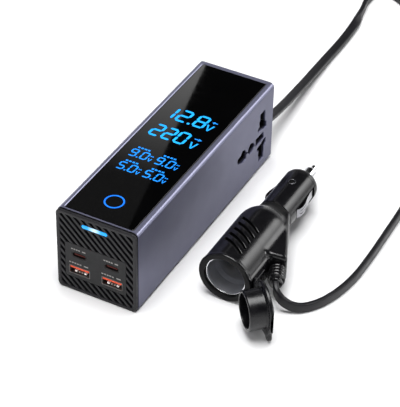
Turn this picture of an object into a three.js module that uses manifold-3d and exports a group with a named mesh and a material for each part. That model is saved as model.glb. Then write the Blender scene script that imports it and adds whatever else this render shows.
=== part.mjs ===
// A slim vehicle power inverter with its 12 V lead and pass-through lighter plug.
// Units are millimetres and +Z is up. The origin is the centre of the case's underside.
// The port face looks along -Y, the lead leaves the back along +Y, and the mains socket is on the +X side.
import * as THREE from "three";
import { mergeVertices } from "three/addons/utils/BufferGeometryUtils.js";
import Module from "manifold-3d";

const wasm = await Module();
wasm.setup();

// Driving dimensions
const GAP = 0.3;

const CASE = {
  width: 50, height: 54, frontY: -79, backY: 79.2, corner: 3,
  sideWall: 1.6, floor: 1.6, roof: 3.4,
};
const BODY_END = 81;
const BEZEL_FRONT = -80.4;
const GLASS = { halfWidth: 21, frontY: -77.3, backY: 77.9, bottom: 52.4, top: 53.9, ledge: 1.9 };
const PORT_PLATE = { halfWidth: 19.3, bottom: 9.3, top: 33.3, front: -81, back: -80 };
const LIGHT_BAR = { halfWidth: 8.3, height: 3.9, centreZ: 47.6 };
const PORT_X = 10.2;
const USB_A = { z: 14.5, width: 13.1, height: 5.8, wall: 0.35, front: -80.9, back: -70.2 };
const USB_C = { z: 25.6, width: 9.0, height: 3.4, wall: 0.32, front: -80.9, back: -70.6 };
const AC = { y: 68.2, z: 24.5, depth: 10.3 };
const FAN = { x: -9.5, z: 27, side: 25, front: 69.4, back: 79.1, hub: 5.2, tip: 11.2 };
const SCREW = { x: 21.1, lowZ: 3.9, highZ: 48.3 };
const GLAND = { x: 16, z: 17.5, length: 8.2 };

const PLUG = { x: 61, z: 16, mouthY: -48.5 };
const SOCKET = { body: 15.6, rim: 16, length: 48, boreAtMouth: 11.7, bore: 10.9, depth: 42 };
const BARREL = { radius: 10.5, start: 61.8, end: 93.6, bore: 5 };
const NOSE_END = 99.3;
const TIP_END = 115.4;
const LED = { s: 83.2, radius: 1.3 };
const LEAF = { front: 91.5, back: 70, width: 7, thick: 0.6, rise: 1.9 };
const ARM = { yaw: 22.5, endX: 81.4, endY: -24.2, halfWidth: 5.2, bottom: 4.6, top: 20.5 };
const BOOT_LENGTH = 12;
const CAP = {
  hingeX: 77.8, hingeY: -48.2, openDegrees: 134,
  flange: 15, thick: 2.5, spigot: 10.9, reach: 9.8,
};
const CORD_RADIUS = 2.2;
const CORD_STEPS = 80;

// The lead's route, from the gland at the back of the case to the boot on the plug.
const CORD_ROUTE = [
  [16.0, 89.6, 17.4], [15.9, 96, 16.6], [15.6, 105, 14.9], [14.9, 122, 12.0],
  [13.8, 140, 9.3], [12.7, 158, 6.9], [11.7, 176, 5.0], [11.1, 192, 3.7],
  [11.0, 208, 3.1], [10.7, 224, 3.0], [9.6, 240, 3.0], [7.2, 256, 3.0],
  [4.8, 270, 3.0], [6.2, 281, 3.0], [14.2, 286.3, 3.0], [22.6, 283.3, 3.0],
  [33, 275.6, 3.0], [46, 264, 3.0], [60, 247, 3.0], [74, 224, 3.0],
  [86.5, 197, 3.0], [97.5, 166, 3.0], [106.5, 134, 3.0], [112.8, 104, 3.0],
  [116.0, 76, 3.0], [117.1, 46, 3.0], [117.6, 20, 3.0], [116.9, 0, 3.0],
  [113.9, -16, 3.0], [108.8, -28.5, 3.0], [102.2, -36.4, 3.3], [96.6, -39.4, 5.0],
  [91.8, -40.4, 8.2], [88.4, -39.2, 11.2], [86.9, -37.2, 12.3], [86.12, -35.56, 12.55],
];

// Geometry helpers

// Joins a geometry's shared corners and turns its faces outward.
function closed(geometry) {
  const bare = geometry.index ? geometry.toNonIndexed() : geometry.clone();
  for (const name of Object.keys(bare.attributes)) {
    if (name !== "position") bare.deleteAttribute(name);
  }
  const merged = mergeVertices(bare, 1e-4);
  const p = merged.getAttribute("position").array;
  const index = Array.from(merged.index.array);
  const kept = [];
  let volume = 0;
  for (let i = 0; i < index.length; i += 3) {
    const [a, b, c] = [index[i], index[i + 1], index[i + 2]];
    if (a === b || b === c || a === c) continue;
    kept.push(a, b, c);
    const [A, B, C] = [a, b, c].map((v) => new THREE.Vector3().fromArray(p, v * 3));
    volume += A.dot(B.cross(C));
  }
  if (volume < 0) kept.reverse();
  merged.setIndex(kept);
  return merged;
}

function solid(geometry) {
  const g = closed(geometry);
  return new wasm.Manifold(new wasm.Mesh({
    numProp: 3,
    vertProperties: new Float32Array(g.getAttribute("position").array),
    triVerts: new Uint32Array(g.index.array),
  }));
}

function geometryOf(manifold) {
  const mesh = manifold.getMesh();
  const g = new THREE.BufferGeometry();
  g.setAttribute("position", new THREE.BufferAttribute(new Float32Array(mesh.vertProperties), 3));
  g.setIndex(Array.from(mesh.triVerts));
  return g;
}

function combine(base, joined = [], removed = []) {
  let result = solid(base);
  for (const g of joined) result = result.add(solid(g));
  for (const g of removed) result = result.subtract(solid(g));
  return geometryOf(result);
}

// A box given by its low and high corners.
function block(x0, x1, y0, y1, z0, z1) {
  return new THREE.BoxGeometry(x1 - x0, y1 - y0, z1 - z0)
    .translate((x0 + x1) / 2, (y0 + y1) / 2, (z0 + z1) / 2);
}

const PLANES = {
  // shape x, shape y and depth, as directions in the part's frame
  x: [[0, 1, 0], [0, 0, 1], [1, 0, 0]],
  y: [[1, 0, 0], [0, 0, 1], [0, 1, 0]],
  z: [[1, 0, 0], [0, 1, 0], [0, 0, 1]],
};

// Extrudes a shape along X, Y or Z between two stations.
function prism(axis, shape, from, to, curveSegments = 4) {
  const g = new THREE.ExtrudeGeometry(shape, { depth: to - from, bevelEnabled: false, curveSegments });
  const [u, v, w] = PLANES[axis].map((d) => new THREE.Vector3(...d));
  g.translate(0, 0, from);
  return g.applyMatrix4(new THREE.Matrix4().makeBasis(u, v, w));
}

function roundRect(cx, cy, width, height, radius, target = new THREE.Shape()) {
  const [l, r] = [cx - width / 2, cx + width / 2];
  const [b, t] = [cy - height / 2, cy + height / 2];
  target.moveTo(l + radius, b);
  target.lineTo(r - radius, b);
  target.absarc(r - radius, b + radius, radius, -Math.PI / 2, 0, false);
  target.lineTo(r, t - radius);
  target.absarc(r - radius, t - radius, radius, 0, Math.PI / 2, false);
  target.lineTo(l + radius, t);
  target.absarc(l + radius, t - radius, radius, Math.PI / 2, Math.PI, false);
  target.lineTo(l, b + radius);
  target.absarc(l + radius, b + radius, radius, Math.PI, Math.PI * 1.5, false);
  return target;
}

function polygon(points) {
  return new THREE.Shape(points.map(([x, y]) => new THREE.Vector2(x, y)));
}

// Turns a profile of [radius, station] about the Y axis.
function turned(profile, segments) {
  return new THREE.LatheGeometry(profile.map(([r, s]) => new THREE.Vector2(r, s)), segments);
}

// The same about an axis parallel to Z.
function turnedUp(profile, segments) {
  return turned(profile, segments).rotateX(Math.PI / 2);
}

// A turned piece on the plug's axis: stations run from the mouth towards the tip.
function onPlug(profile, segments) {
  return turned(profile, segments).translate(PLUG.x, PLUG.mouthY, PLUG.z);
}

// A tube's closed profile: outer and inner radius between two stations.
function tubeProfile(outer, inner, from, to) {
  return [[inner, from], [outer, from], [outer, to], [inner, to], [inner, from]];
}

const part = new THREE.Group();

function add(name, geometry, colour, roughness, metalness, parent = part) {
  const material = new THREE.MeshStandardMaterial({ color: colour, roughness, metalness });
  const mesh = new THREE.Mesh(closed(geometry), material);
  mesh.name = name;
  parent.add(mesh);
  return mesh;
}

const LOOK = {
  anodised: [0x5f6177, 0.38, 0.85],
  blackPlastic: [0x17171b, 0.5, 0],
  glossBlack: [0x101015, 0.22, 0],
  glass: [0x050506, 0.06, 0],
  rubber: [0x1b1b20, 0.6, 0],
  steel: [0xb9bcc2, 0.28, 1],
  chrome: [0xd8dade, 0.12, 1],
  brass: [0xc59a4a, 0.3, 1],
  board: [0x1d5b38, 0.55, 0],
  orange: [0xe0552d, 0.45, 0],
  cyan: [0x19b6ff, 0.3, 0],
  ferrite: [0x3a3b3f, 0.7, 0],
  copper: [0xb5683a, 0.35, 0.9],
  aluminium: [0xa9acb2, 0.4, 1],
};

// Case

// Outlines of the mains apertures in (Y, Z), about the line through the live and neutral pins.
const LIVE_OUTLINE = [
  [-2.8, 16.9], [-2.8, 12.8], [-3.8, 12.0], [-3.2, 8.6], [-5.4, 7.8], [-5.4, 6.2],
  [-0.5, 5.6], [2.2, 4.3], [5.0, 4.3], [5.0, 7.5], [3.1, 9.5], [2.6, 16.9],
];
const CENTRE_OUTLINE = [[-7.8, 1.9], [-7.8, -2.3], [-7.2, -2.7], [2.0, -2.7], [2.2, -2.0], [1.6, 1.7]];
const ROUND_EARTH_OUTLINE = [
  [-17.4, 1.2], [-17.4, -1.2], [-15.8, -3.1], [-13.4, -2.9], [-10.6, -1.5],
  [-9.9, -0.3], [-10.6, 1.2], [-13.4, 2.9], [-15.6, 3.0],
];
const EARTH_OUTLINE = [
  [-31, 2.2], [-31, -0.6], [-28, -2.2], [-24.6, -3.4], [-20.8, -3.0], [-20.6, -1.0],
  [-19.8, 0.4], [-21.2, 2.4], [-23.4, 4.4], [-25.6, 4.4], [-27.2, 2.4],
];

// Cutters for all mains apertures between two X stations.
function mainsApertures(from, to) {
  const place = ([u, v]) => [AC.y + u, AC.z + v];
  const mirrored = LIVE_OUTLINE.map(([u, v]) => [u, -v]).reverse();
  const outlines = [LIVE_OUTLINE, mirrored, CENTRE_OUTLINE, ROUND_EARTH_OUTLINE, EARTH_OUTLINE];
  return outlines.map((outline) => prism("x", polygon(outline.map(place)), from, to));
}

function caseShell() {
  const innerHeight = CASE.height - CASE.floor - CASE.roof;
  const innerZ = CASE.floor + innerHeight / 2;
  const innerWidth = CASE.width - 2 * CASE.sideWall;
  const ring = roundRect(0, CASE.height / 2, CASE.width, CASE.height, CASE.corner);
  ring.holes.push(roundRect(0, innerZ, innerWidth, innerHeight, 1.2, new THREE.Path()));
  const sleeve = prism("y", ring, CASE.frontY, CASE.backY, 6);
  const bosses = [];
  const holes = [];
  for (const side of [-1, 1]) {
    for (const z of [SCREW.lowZ, SCREW.highZ]) {
      const x = side * SCREW.x;
      bosses.push(block(x - 2.4, x + 2.4, 66, CASE.backY - 0.2, z - 2.4, z + 2.4));
      holes.push(turned([[0, 68], [1.2, 68], [1.2, 82], [0, 82]], 10).translate(x, 0, z));
    }
  }
  const pocket = block(
    -GLASS.halfWidth - GAP, GLASS.halfWidth + GAP,
    GLASS.frontY - GAP, GLASS.backY + GAP, GLASS.bottom - 0.2, CASE.height + 1,
  );
  const window = block(
    -GLASS.halfWidth + GLASS.ledge, GLASS.halfWidth - GLASS.ledge,
    GLASS.frontY + GLASS.ledge, GLASS.backY - GLASS.ledge, CASE.height - CASE.roof - 1, CASE.height,
  );
  const side = CASE.width / 2;
  return combine(sleeve, bosses, [...holes, pocket, window, ...mainsApertures(side - 3, side + 1)]);
}

function endPlate(from, to) {
  return prism("y", roundRect(0, CASE.height / 2, CASE.width - 1.6, CASE.height - 1.6, 2.6), from, to, 5);
}

// The short collar with which an end plate locates inside the case.
function collar(from, to) {
  const width = CASE.width - 2 * CASE.sideWall - 2 * GAP;
  const height = CASE.height - CASE.floor - CASE.roof - 2 * GAP;
  const centreZ = CASE.floor + GAP + height / 2;
  const ring = roundRect(0, centreZ, width, height, 1);
  ring.holes.push(roundRect(0, centreZ, width - 3, height - 3, 0.8, new THREE.Path()));
  return prism("y", ring, from, to, 2);
}

function portCutters(margin, from, to) {
  const cutters = [];
  for (const side of [-1, 1]) {
    for (const port of [USB_A, USB_C]) {
      const radius = port === USB_C ? port.height / 2 : 0.6;
      const shape = roundRect(side * PORT_X, port.z, port.width + margin, port.height + margin, radius);
      cutters.push(prism("y", shape, from, to, 3));
    }
  }
  return cutters;
}

function frontBezel() {
  const plateBack = CASE.frontY - GAP;
  const recess = block(
    -PORT_PLATE.halfWidth - GAP, PORT_PLATE.halfWidth + GAP, -BODY_END - 1, PORT_PLATE.back + GAP,
    PORT_PLATE.bottom - GAP, PORT_PLATE.top + GAP,
  );
  const lightWindow = prism(
    "y",
    roundRect(0, LIGHT_BAR.centreZ, 2 * LIGHT_BAR.halfWidth + 0.6, LIGHT_BAR.height + 0.6, 0.9),
    -BODY_END - 1, -70, 3,
  );
  const plate = endPlate(BEZEL_FRONT, plateBack);
  const cutters = [recess, lightWindow, ...portCutters(0.7, -84, -70)];
  return combine(plate, [collar(plateBack - 0.3, -74.5)], cutters);
}

function portPlate() {
  const width = 2 * PORT_PLATE.halfWidth;
  const height = PORT_PLATE.top - PORT_PLATE.bottom;
  const plate = roundRect(0, (PORT_PLATE.top + PORT_PLATE.bottom) / 2, width, height, 1.2);
  return combine(prism("y", plate, PORT_PLATE.front, PORT_PLATE.back, 3), [], portCutters(0.5, -84, -70));
}

function usbShell(port, side) {
  const radius = port === USB_C ? port.height / 2 - 0.05 : 0.5;
  const ring = roundRect(side * PORT_X, port.z, port.width, port.height, radius);
  const inner = [port.width - 2 * port.wall, port.height - 2 * port.wall, radius - port.wall + 0.05];
  ring.holes.push(roundRect(side * PORT_X, port.z, ...inner, new THREE.Path()));
  return prism("y", ring, port.front, port.back, port === USB_C ? 5 : 2);
}

function usbATongue(side) {
  const x = side * PORT_X;
  return block(x - 5.55, x + 5.55, USB_A.front + 0.7, USB_A.back, USB_A.z + 0.45, USB_A.z + 2.35);
}

function usbCTongue(side) {
  const shape = roundRect(side * PORT_X, USB_C.z, 6.7, 0.8, 0.3);
  return prism("y", shape, USB_C.front + 0.8, USB_C.back, 2);
}

add("case_shell", caseShell(), ...LOOK.anodised);
add(
  "top_glass",
  prism(
    "z",
    roundRect(0, (GLASS.frontY + GLASS.backY) / 2, 2 * GLASS.halfWidth, GLASS.backY - GLASS.frontY, 0.6),
    GLASS.bottom, GLASS.top, 3,
  ),
  ...LOOK.glass,
);
add("display_module", block(-18.4, 18.4, -50, 74, 50.0, 52.2), ...LOOK.blackPlastic);
add("touch_sensor", block(-8, 8, -69, -52, 50.9, 52.2), ...LOOK.brass);
add("display_board", block(-18.4, 18.4, -72, 74, 47.6, 49.2), ...LOOK.board);
add("front_bezel", frontBezel(), ...LOOK.blackPlastic);
add("port_plate", portPlate(), ...LOOK.blackPlastic);
add(
  "light_bar",
  prism("y", roundRect(0, LIGHT_BAR.centreZ, 2 * LIGHT_BAR.halfWidth, LIGHT_BAR.height, 0.8), -80.8, -77.5, 3),
  ...LOOK.cyan,
);
for (const [side, word] of [[-1, "left"], [1, "right"]]) {
  add(`usb_a_shell_${word}`, usbShell(USB_A, side), ...LOOK.steel);
  add(`usb_a_tongue_${word}`, usbATongue(side), ...LOOK.orange);
  add(`usb_c_shell_${word}`, usbShell(USB_C, side), ...LOOK.steel);
  add(`usb_c_tongue_${word}`, usbCTongue(side), ...LOOK.blackPlastic);
}

// Electronics inside the case

add("usb_board", block(-20, 20, -69.9, -68.3, 6.4, 34), ...LOOK.board);
add("main_board", block(-22, 11.8, -66, 66, 4.2, 5.8), ...LOOK.board);

function transformerCore() {
  const outline = roundRect(-4, 18.2, 28, 24, 0.5);
  for (const side of [-1, 1]) {
    outline.holes.push(roundRect(-4 + side * 6.8, 18.2, 6.4, 15, 0.4, new THREE.Path()));
  }
  return prism("x", outline, -12, 0, 1);
}

function transformerWinding() {
  const ring = roundRect(-6, -4, 20.4, 18.4, 3.5);
  ring.holes.push(roundRect(-6, -4, 12.8, 7.8, 1, new THREE.Path()));
  return prism("z", ring, 11.2, 25.2, 3);
}

function capacitor(x, y) {
  const profile = [
    [0, 0], [5.6, 0], [6.2, 0.8], [6.2, 2], [5.8, 2.6], [6.2, 3.2], [6.2, 19.4], [5.6, 20], [0, 20],
  ];
  return turnedUp(profile, 16).translate(x, y, 6.1);
}

function transistor(y) {
  const legs = [-2.5, 0, 2.5].map((offset) => block(-18.2, -17.6, y + offset - 0.4, y + offset + 0.4, 6.1, 12.5));
  return combine(block(-20.1, -15.6, y - 5, y + 5, 12, 27), legs);
}

add("transformer_core", transformerCore(), ...LOOK.ferrite);
add("transformer_winding", transformerWinding(), ...LOOK.copper);
add("capacitor_left", capacitor(-8, -46), ...LOOK.glossBlack);
add("capacitor_right", capacitor(5.2, -46), ...LOOK.glossBlack);
add("heat_sink", block(-22.9, -20.4, -50, 55, 7, 40), ...LOOK.aluminium);
for (const [index, y] of [-38, -22, 16, 34].entries()) {
  add(`transistor_${index + 1}`, transistor(y), ...LOOK.blackPlastic);
}

// Mains socket

function contactClip(y, z, width, height) {
  const outer = block(4, 12.4, y - width / 2, y + width / 2, z - height / 2, z + height / 2);
  const throat = block(4.8, 13, y - width, y + width, z - height / 2 + 0.8, z + height / 2 - 0.8);
  return combine(outer, [], [throat]);
}

const insertOuter = CASE.width / 2 - CASE.sideWall - GAP;
add(
  "ac_socket_insert",
  combine(block(insertOuter - AC.depth, insertOuter, 34.5, 74.8, 6.7, 43.2), [], mainsApertures(10, 26)),
  ...LOOK.blackPlastic,
);
add("live_contact", contactClip(AC.y - 0.4, AC.z + 11, 6, 9), ...LOOK.brass);
add("neutral_contact", contactClip(AC.y - 0.4, AC.z - 11, 6, 9), ...LOOK.brass);
add("earth_contact", contactClip(AC.y - 24, AC.z, 10, 7), ...LOOK.brass);

// Back of the case

function rearCover() {
  const slots = [];
  for (let row = -3; row <= 3; row += 1) {
    const half = Math.sqrt(11.5 ** 2 - (row * 3.3) ** 2);
    slots.push(prism("y", roundRect(FAN.x, FAN.z + row * 3.3, 2 * half, 1.9, 0.9), 77, 83, 2));
  }
  for (const side of [-1, 1]) {
    for (const z of [SCREW.lowZ, SCREW.highZ]) {
      const seat = [[0, 78], [1.5, 78], [1.5, 80], [2.7, 80], [2.7, 82], [0, 82]];
      slots.push(turned(seat, 12).translate(side * SCREW.x, 0, z));
    }
  }
  slots.push(turned([[0, 78], [3.4, 78], [3.4, 83], [0, 83]], 14).translate(GLAND.x, 0, GLAND.z));
  return combine(endPlate(CASE.backY + GAP, BODY_END), [], slots);
}

function coverScrew(side, z) {
  const profile = [[0, 69.5], [0.95, 69.5], [0.95, 80.2], [2.3, 80.2], [2.3, 80.7], [1.9, 80.95], [0, 80.95]];
  return turned(profile, 10).translate(side * SCREW.x, 0, z);
}

function cableGland() {
  const profile = [
    [0, 77.5], [4.6, 77.5], [4.6, 79.2], [3.1, 79.2], [3.1, 81.3], [5.4, 81.3], [5.4, 82.6],
    [4.1, 83.4], [3.5, BODY_END + GLAND.length], [0, BODY_END + GLAND.length],
  ];
  return turned(profile, 16).translate(GLAND.x, 0, GLAND.z);
}

function fanFrame() {
  const half = FAN.side / 2;
  const frame = prism("y", roundRect(FAN.x, FAN.z, FAN.side, FAN.side, 1.6), FAN.front, FAN.back, 2);
  const opening = turned([[0, 60], [FAN.tip + 0.6, 60], [FAN.tip + 0.6, 90], [0, 90]], 28);
  const bore = opening.translate(FAN.x, 0, FAN.z);
  const strutEnd = FAN.front + 1.3;
  const struts = [
    block(FAN.x - half + 0.6, FAN.x + half - 0.6, FAN.front, strutEnd, FAN.z - 1, FAN.z + 1),
    block(FAN.x - 1, FAN.x + 1, FAN.front, strutEnd, FAN.z - half + 0.6, FAN.z + half - 0.6),
    turned([[0, FAN.front], [4.6, FAN.front], [4.6, strutEnd], [0, strutEnd]], 14).translate(FAN.x, 0, FAN.z),
    turned([[0, FAN.front], [1.2, FAN.front], [1.2, 76], [0, 76]], 10).translate(FAN.x, 0, FAN.z),
  ];
  return combine(geometryOf(solid(frame).subtract(solid(bore))), struts);
}

function fanRotor() {
  const front = FAN.front + 1.8;
  const hub = turned([
    [1.6, front], [FAN.hub, front], [FAN.hub, 78.2], [0, 78.2], [0, 77], [1.6, 77], [1.6, front],
  ], 20);
  const blades = [];
  for (let i = 0; i < 7; i += 1) {
    const blade = new THREE.BoxGeometry(FAN.tip - FAN.hub + 1, 0.8, 6.4);
    blade.rotateX(0.7).translate((FAN.tip + FAN.hub - 1) / 2, (front + 78.2) / 2, 0);
    blades.push(blade.rotateY((i * 2 * Math.PI) / 7));
  }
  return combine(hub, blades).translate(FAN.x, 0, FAN.z);
}

add("rear_cover", rearCover(), ...LOOK.blackPlastic);
let screwNumber = 1;
for (const side of [-1, 1]) {
  for (const z of [SCREW.lowZ, SCREW.highZ]) {
    add(`cover_screw_${screwNumber}`, coverScrew(side, z), ...LOOK.steel);
    screwNumber += 1;
  }
}
add("fan_frame", fanFrame(), ...LOOK.blackPlastic);
add("fan_rotor", fanRotor(), ...LOOK.blackPlastic);
add("cable_gland", cableGland(), ...LOOK.rubber);

// Lead

function powerCable() {
  const points = CORD_ROUTE.map((point) => new THREE.Vector3(...point));
  const route = new THREE.CatmullRomCurve3(points, false, "centripetal");
  const section = new THREE.Shape();
  for (let i = 0; i < 8; i += 1) {
    const angle = (i * Math.PI) / 4;
    const point = [CORD_RADIUS * Math.cos(angle), CORD_RADIUS * Math.sin(angle)];
    if (i === 0) section.moveTo(...point);
    else section.lineTo(...point);
  }
  return new THREE.ExtrudeGeometry(section, { steps: CORD_STEPS, extrudePath: route, bevelEnabled: false });
}

function cableBoot() {
  const profile = [[0, GAP], [4.9, GAP]];
  for (let rib = 0; rib < 4; rib += 1) {
    const [start, radius] = [1.1 + rib * 2.1, 4.8 - rib * 0.3];
    profile.push([radius, start], [radius, start + 1.1], [radius - 1, start + 1.3], [radius - 1, start + 1.9]);
  }
  profile.push([3.4, 9.5], [3.3, BOOT_LENGTH], [0, BOOT_LENGTH]);
  const turn = new THREE.Matrix4().makeRotationZ(Math.PI + (ARM.yaw * Math.PI) / 180);
  return turned(profile, 14).applyMatrix4(turn).translate(ARM.endX, ARM.endY, (ARM.bottom + ARM.top) / 2);
}

add("power_cable", powerCable(), ...LOOK.rubber);
add("cable_boot", cableBoot(), ...LOOK.rubber);

// Plug with its pass-through socket

function plugHousing() {
  const { body, rim, length } = SOCKET;
  const profile = [[0, 0], [rim - 0.6, 0], [rim, 0.6], [rim, 1.8], [body, 2.4], [body, length]];
  for (let i = 1; i <= 6; i += 1) {
    const t = i / 6;
    const ease = t * t * (3 - 2 * t);
    profile.push([body + (BARREL.radius + 0.1 - body) * ease, length + (BARREL.start - GAP - length) * t]);
  }
  profile.push([0, BARREL.start - GAP]);
  const outer = onPlug(profile, 36);
  const yaw = (ARM.yaw * Math.PI) / 180;
  const [acrossX, acrossY] = [ARM.halfWidth * Math.cos(yaw), ARM.halfWidth * Math.sin(yaw)];
  const arm = prism("z", polygon([
    [71.2, 11.5], [74.2, 6.0], [ARM.endX + acrossX - 0.3, ARM.endY + acrossY + 2.6],
    [ARM.endX + acrossX, ARM.endY + acrossY], [ARM.endX - acrossX, ARM.endY - acrossY],
    [76.8, PLUG.mouthY + 1.2], [70, PLUG.mouthY + 1.2], [66, 0],
  ]), ARM.bottom, ARM.top);
  const bore = onPlug([[0, -1], [12.6, -1], [12.6, SOCKET.depth + 2.4], [0, SOCKET.depth + 2.4]], 32);
  const vents = [];
  for (let i = 0; i < 5; i += 1) {
    const slot = block(-7.4, 7.4, -1, 1, -3, 3).rotateZ(0.62);
    vents.push(slot.translate(PLUG.x - 0.6, PLUG.mouthY + 12 + i * 5.1, PLUG.z + SOCKET.body + 1.4));
  }
  return combine(outer, [arm], [bore, ...vents]);
}

function socketSleeve() {
  const outer = 12.3;
  return onPlug([
    [SOCKET.boreAtMouth, 1], [outer, 1], [outer, SOCKET.depth], [SOCKET.bore, SOCKET.depth],
    [SOCKET.bore, 14], [SOCKET.boreAtMouth - 0.3, 9], [SOCKET.boreAtMouth, 1],
  ], 32);
}

function leafSlot(side) {
  const x = PLUG.x + side * 10;
  return block(
    Math.min(x - side * 2.6, x + side * 5), Math.max(x - side * 2.6, x + side * 5),
    PLUG.mouthY + LEAF.back - 1.4, PLUG.mouthY + LEAF.front + 1.2,
    PLUG.z - LEAF.width / 2 - 0.5, PLUG.z + LEAF.width / 2 + 0.5,
  );
}

function plugBarrel() {
  const tube = onPlug(tubeProfile(BARREL.radius, BARREL.bore, BARREL.start, BARREL.end), 32);
  const seat = turnedUp([[0, 24.2], [2.25, 24.2], [2.25, 30], [0, 30]], 16);
  return combine(tube, [], [leafSlot(-1), leafSlot(1), seat.translate(PLUG.x, PLUG.mouthY + LED.s, 0)]);
}

// The bent leaf in plan: station along the plug and distance from its axis.
function sideContact(side) {
  const { front, back, thick, rise } = LEAF;
  const r = BARREL.radius;
  const outline = [
    [front, r - 0.7], [front - 4, r - 0.1], [back + 9, r + rise - 0.5], [back + 4, r + rise],
    [back + 1.4, r + rise - 0.6], [back, r - 0.2],
  ];
  const inner = outline.map(([s, d]) => [s, d - thick]).reverse();
  const points = [...outline, ...inner].map(([s, d]) => [PLUG.x + side * d, PLUG.mouthY + s]);
  return prism("z", polygon(points), PLUG.z - LEAF.width / 2, PLUG.z + LEAF.width / 2);
}

function noseCap() {
  const start = BARREL.end + GAP;
  return onPlug([
    [BARREL.bore, start], [BARREL.radius, start], [10.5, 95.2], [10.1, 96.6], [9.1, 97.9], [7.4, 98.9],
    [5.6, NOSE_END], [4.25, NOSE_END], [4.25, NOSE_END - 2], [BARREL.bore, NOSE_END - 2],
    [BARREL.bore, start],
  ], 32);
}

// A cup that slides in the barrel with the spring inside it, and a stepped pin through the nose.
function tipContact() {
  return onPlug([
    [0, 94.3], [3.4, 94.3], [3.4, 85.3], [4.6, 85.3], [4.6, NOSE_END - 2.3], [3.9, NOSE_END - 2.3],
    [3.9, 108.4], [3.0, 109.8], [1.9, 110.2], [1.9, TIP_END - 0.6], [0.9, TIP_END], [0, TIP_END],
  ], 20);
}

function tipSpring() {
  class Helix extends THREE.Curve {
    getPoint(t, target = new THREE.Vector3()) {
      const angle = t * 5 * 2 * Math.PI;
      return target.set(2.6 * Math.cos(angle), 84.6 + 8.9 * t, 2.6 * Math.sin(angle));
    }
  }
  const wire = new THREE.Shape();
  wire.absarc(0, 0, 0.35, 0, 2 * Math.PI, false);
  const coil = new THREE.ExtrudeGeometry(wire, {
    steps: 50, curveSegments: 5, extrudePath: new Helix(), bevelEnabled: false,
  });
  return coil.translate(PLUG.x, PLUG.mouthY, PLUG.z);
}

function fuse() {
  return onPlug([
    [0, 62.6], [3.1, 62.6], [3.1, 68], [2.7, 68.3], [2.7, 77.7], [3.1, 78], [3.1, 83.6], [0, 83.6],
  ], 14);
}

function atLed(profile, segments) {
  return turnedUp(profile, segments).translate(PLUG.x, PLUG.mouthY + LED.s, 0);
}

add("plug_housing", plugHousing(), ...LOOK.glossBlack);
add("socket_sleeve", socketSleeve(), ...LOOK.steel);
add("socket_base", onPlug([[0, 42.4], [12.2, 42.4], [12.2, 44], [0, 44]], 20), ...LOOK.blackPlastic);
add("centre_contact", onPlug([[0, 39.6], [3.4, 39.6], [4, 40.4], [4, 42.1], [0, 42.1]], 16), ...LOOK.brass);
add("plug_barrel", plugBarrel(), ...LOOK.glossBlack);
add("nose_cap", noseCap(), ...LOOK.glossBlack);
add("tip_contact", tipContact(), ...LOOK.chrome);
add("tip_spring", tipSpring(), ...LOOK.steel);
add("fuse", fuse(), ...LOOK.chrome);
add("side_contact_left", sideContact(-1), ...LOOK.chrome);
add("side_contact_right", sideContact(1), ...LOOK.chrome);
const lensProfile = [[0, 24.6], [LED.radius, 24.6], [LED.radius, 26.5], [0.7, 26.9], [0, 26.95]];
const bezelProfile = [[1.5, 24.8], [2.0, 24.8], [2.0, 26.9], [1.5, 26.9], [1.5, 24.8]];
add("led_lens", atLed(lensProfile, 14), ...LOOK.glossBlack);
add("led_bezel", atLed(bezelProfile, 16), ...LOOK.chrome);

// Rubber cap, modelled over the mouth and turned open about the upright strap line.

function socketCap() {
  const { flange, thick, spigot, reach } = CAP;
  const tip = spigot - 0.9;
  const disc = turned([
    [0, -thick - GAP], [flange - 0.7, -thick - GAP], [flange, -thick - GAP + 0.7], [flange, -GAP - 0.5],
    [flange - 0.5, -GAP], [spigot, -GAP], [tip, reach - 1.5], [tip - 0.5, reach - 0.4], [tip - 1.3, reach],
    [tip - 1.8, reach], [tip - 1.8, 0.6], [0, 0.6],
  ], 32);
  const tab = turned([[0, -2.4], [3.6, -2.4], [3.6, -0.6], [0, -0.6]], 14);
  const tabAngle = (235 * Math.PI) / 180;
  tab.translate(flange * Math.cos(tabAngle), 0, flange * Math.sin(tabAngle));
  return combine(disc, [tab]).translate(PLUG.x - CAP.hingeX, PLUG.mouthY - CAP.hingeY, PLUG.z);
}

const capHinge = new THREE.Group();
capHinge.position.set(CAP.hingeX, CAP.hingeY, 0);
capHinge.rotation.z = (CAP.openDegrees * Math.PI) / 180;
part.add(capHinge);
add("socket_cap", socketCap(), ...LOOK.rubber, capHinge);
add("cap_anchor", block(77.2, 79, -44.4, -35, 11.5, 20), ...LOOK.rubber);

export default part;
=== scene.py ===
"""A vehicle power inverter with its flat lead and pass-through 12 V plug.

Lengths are written in millimetres and become metres where a mesh is made.
"""

import math

import bmesh
import bpy
import numpy as np
from mathutils import Matrix, Vector


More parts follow.
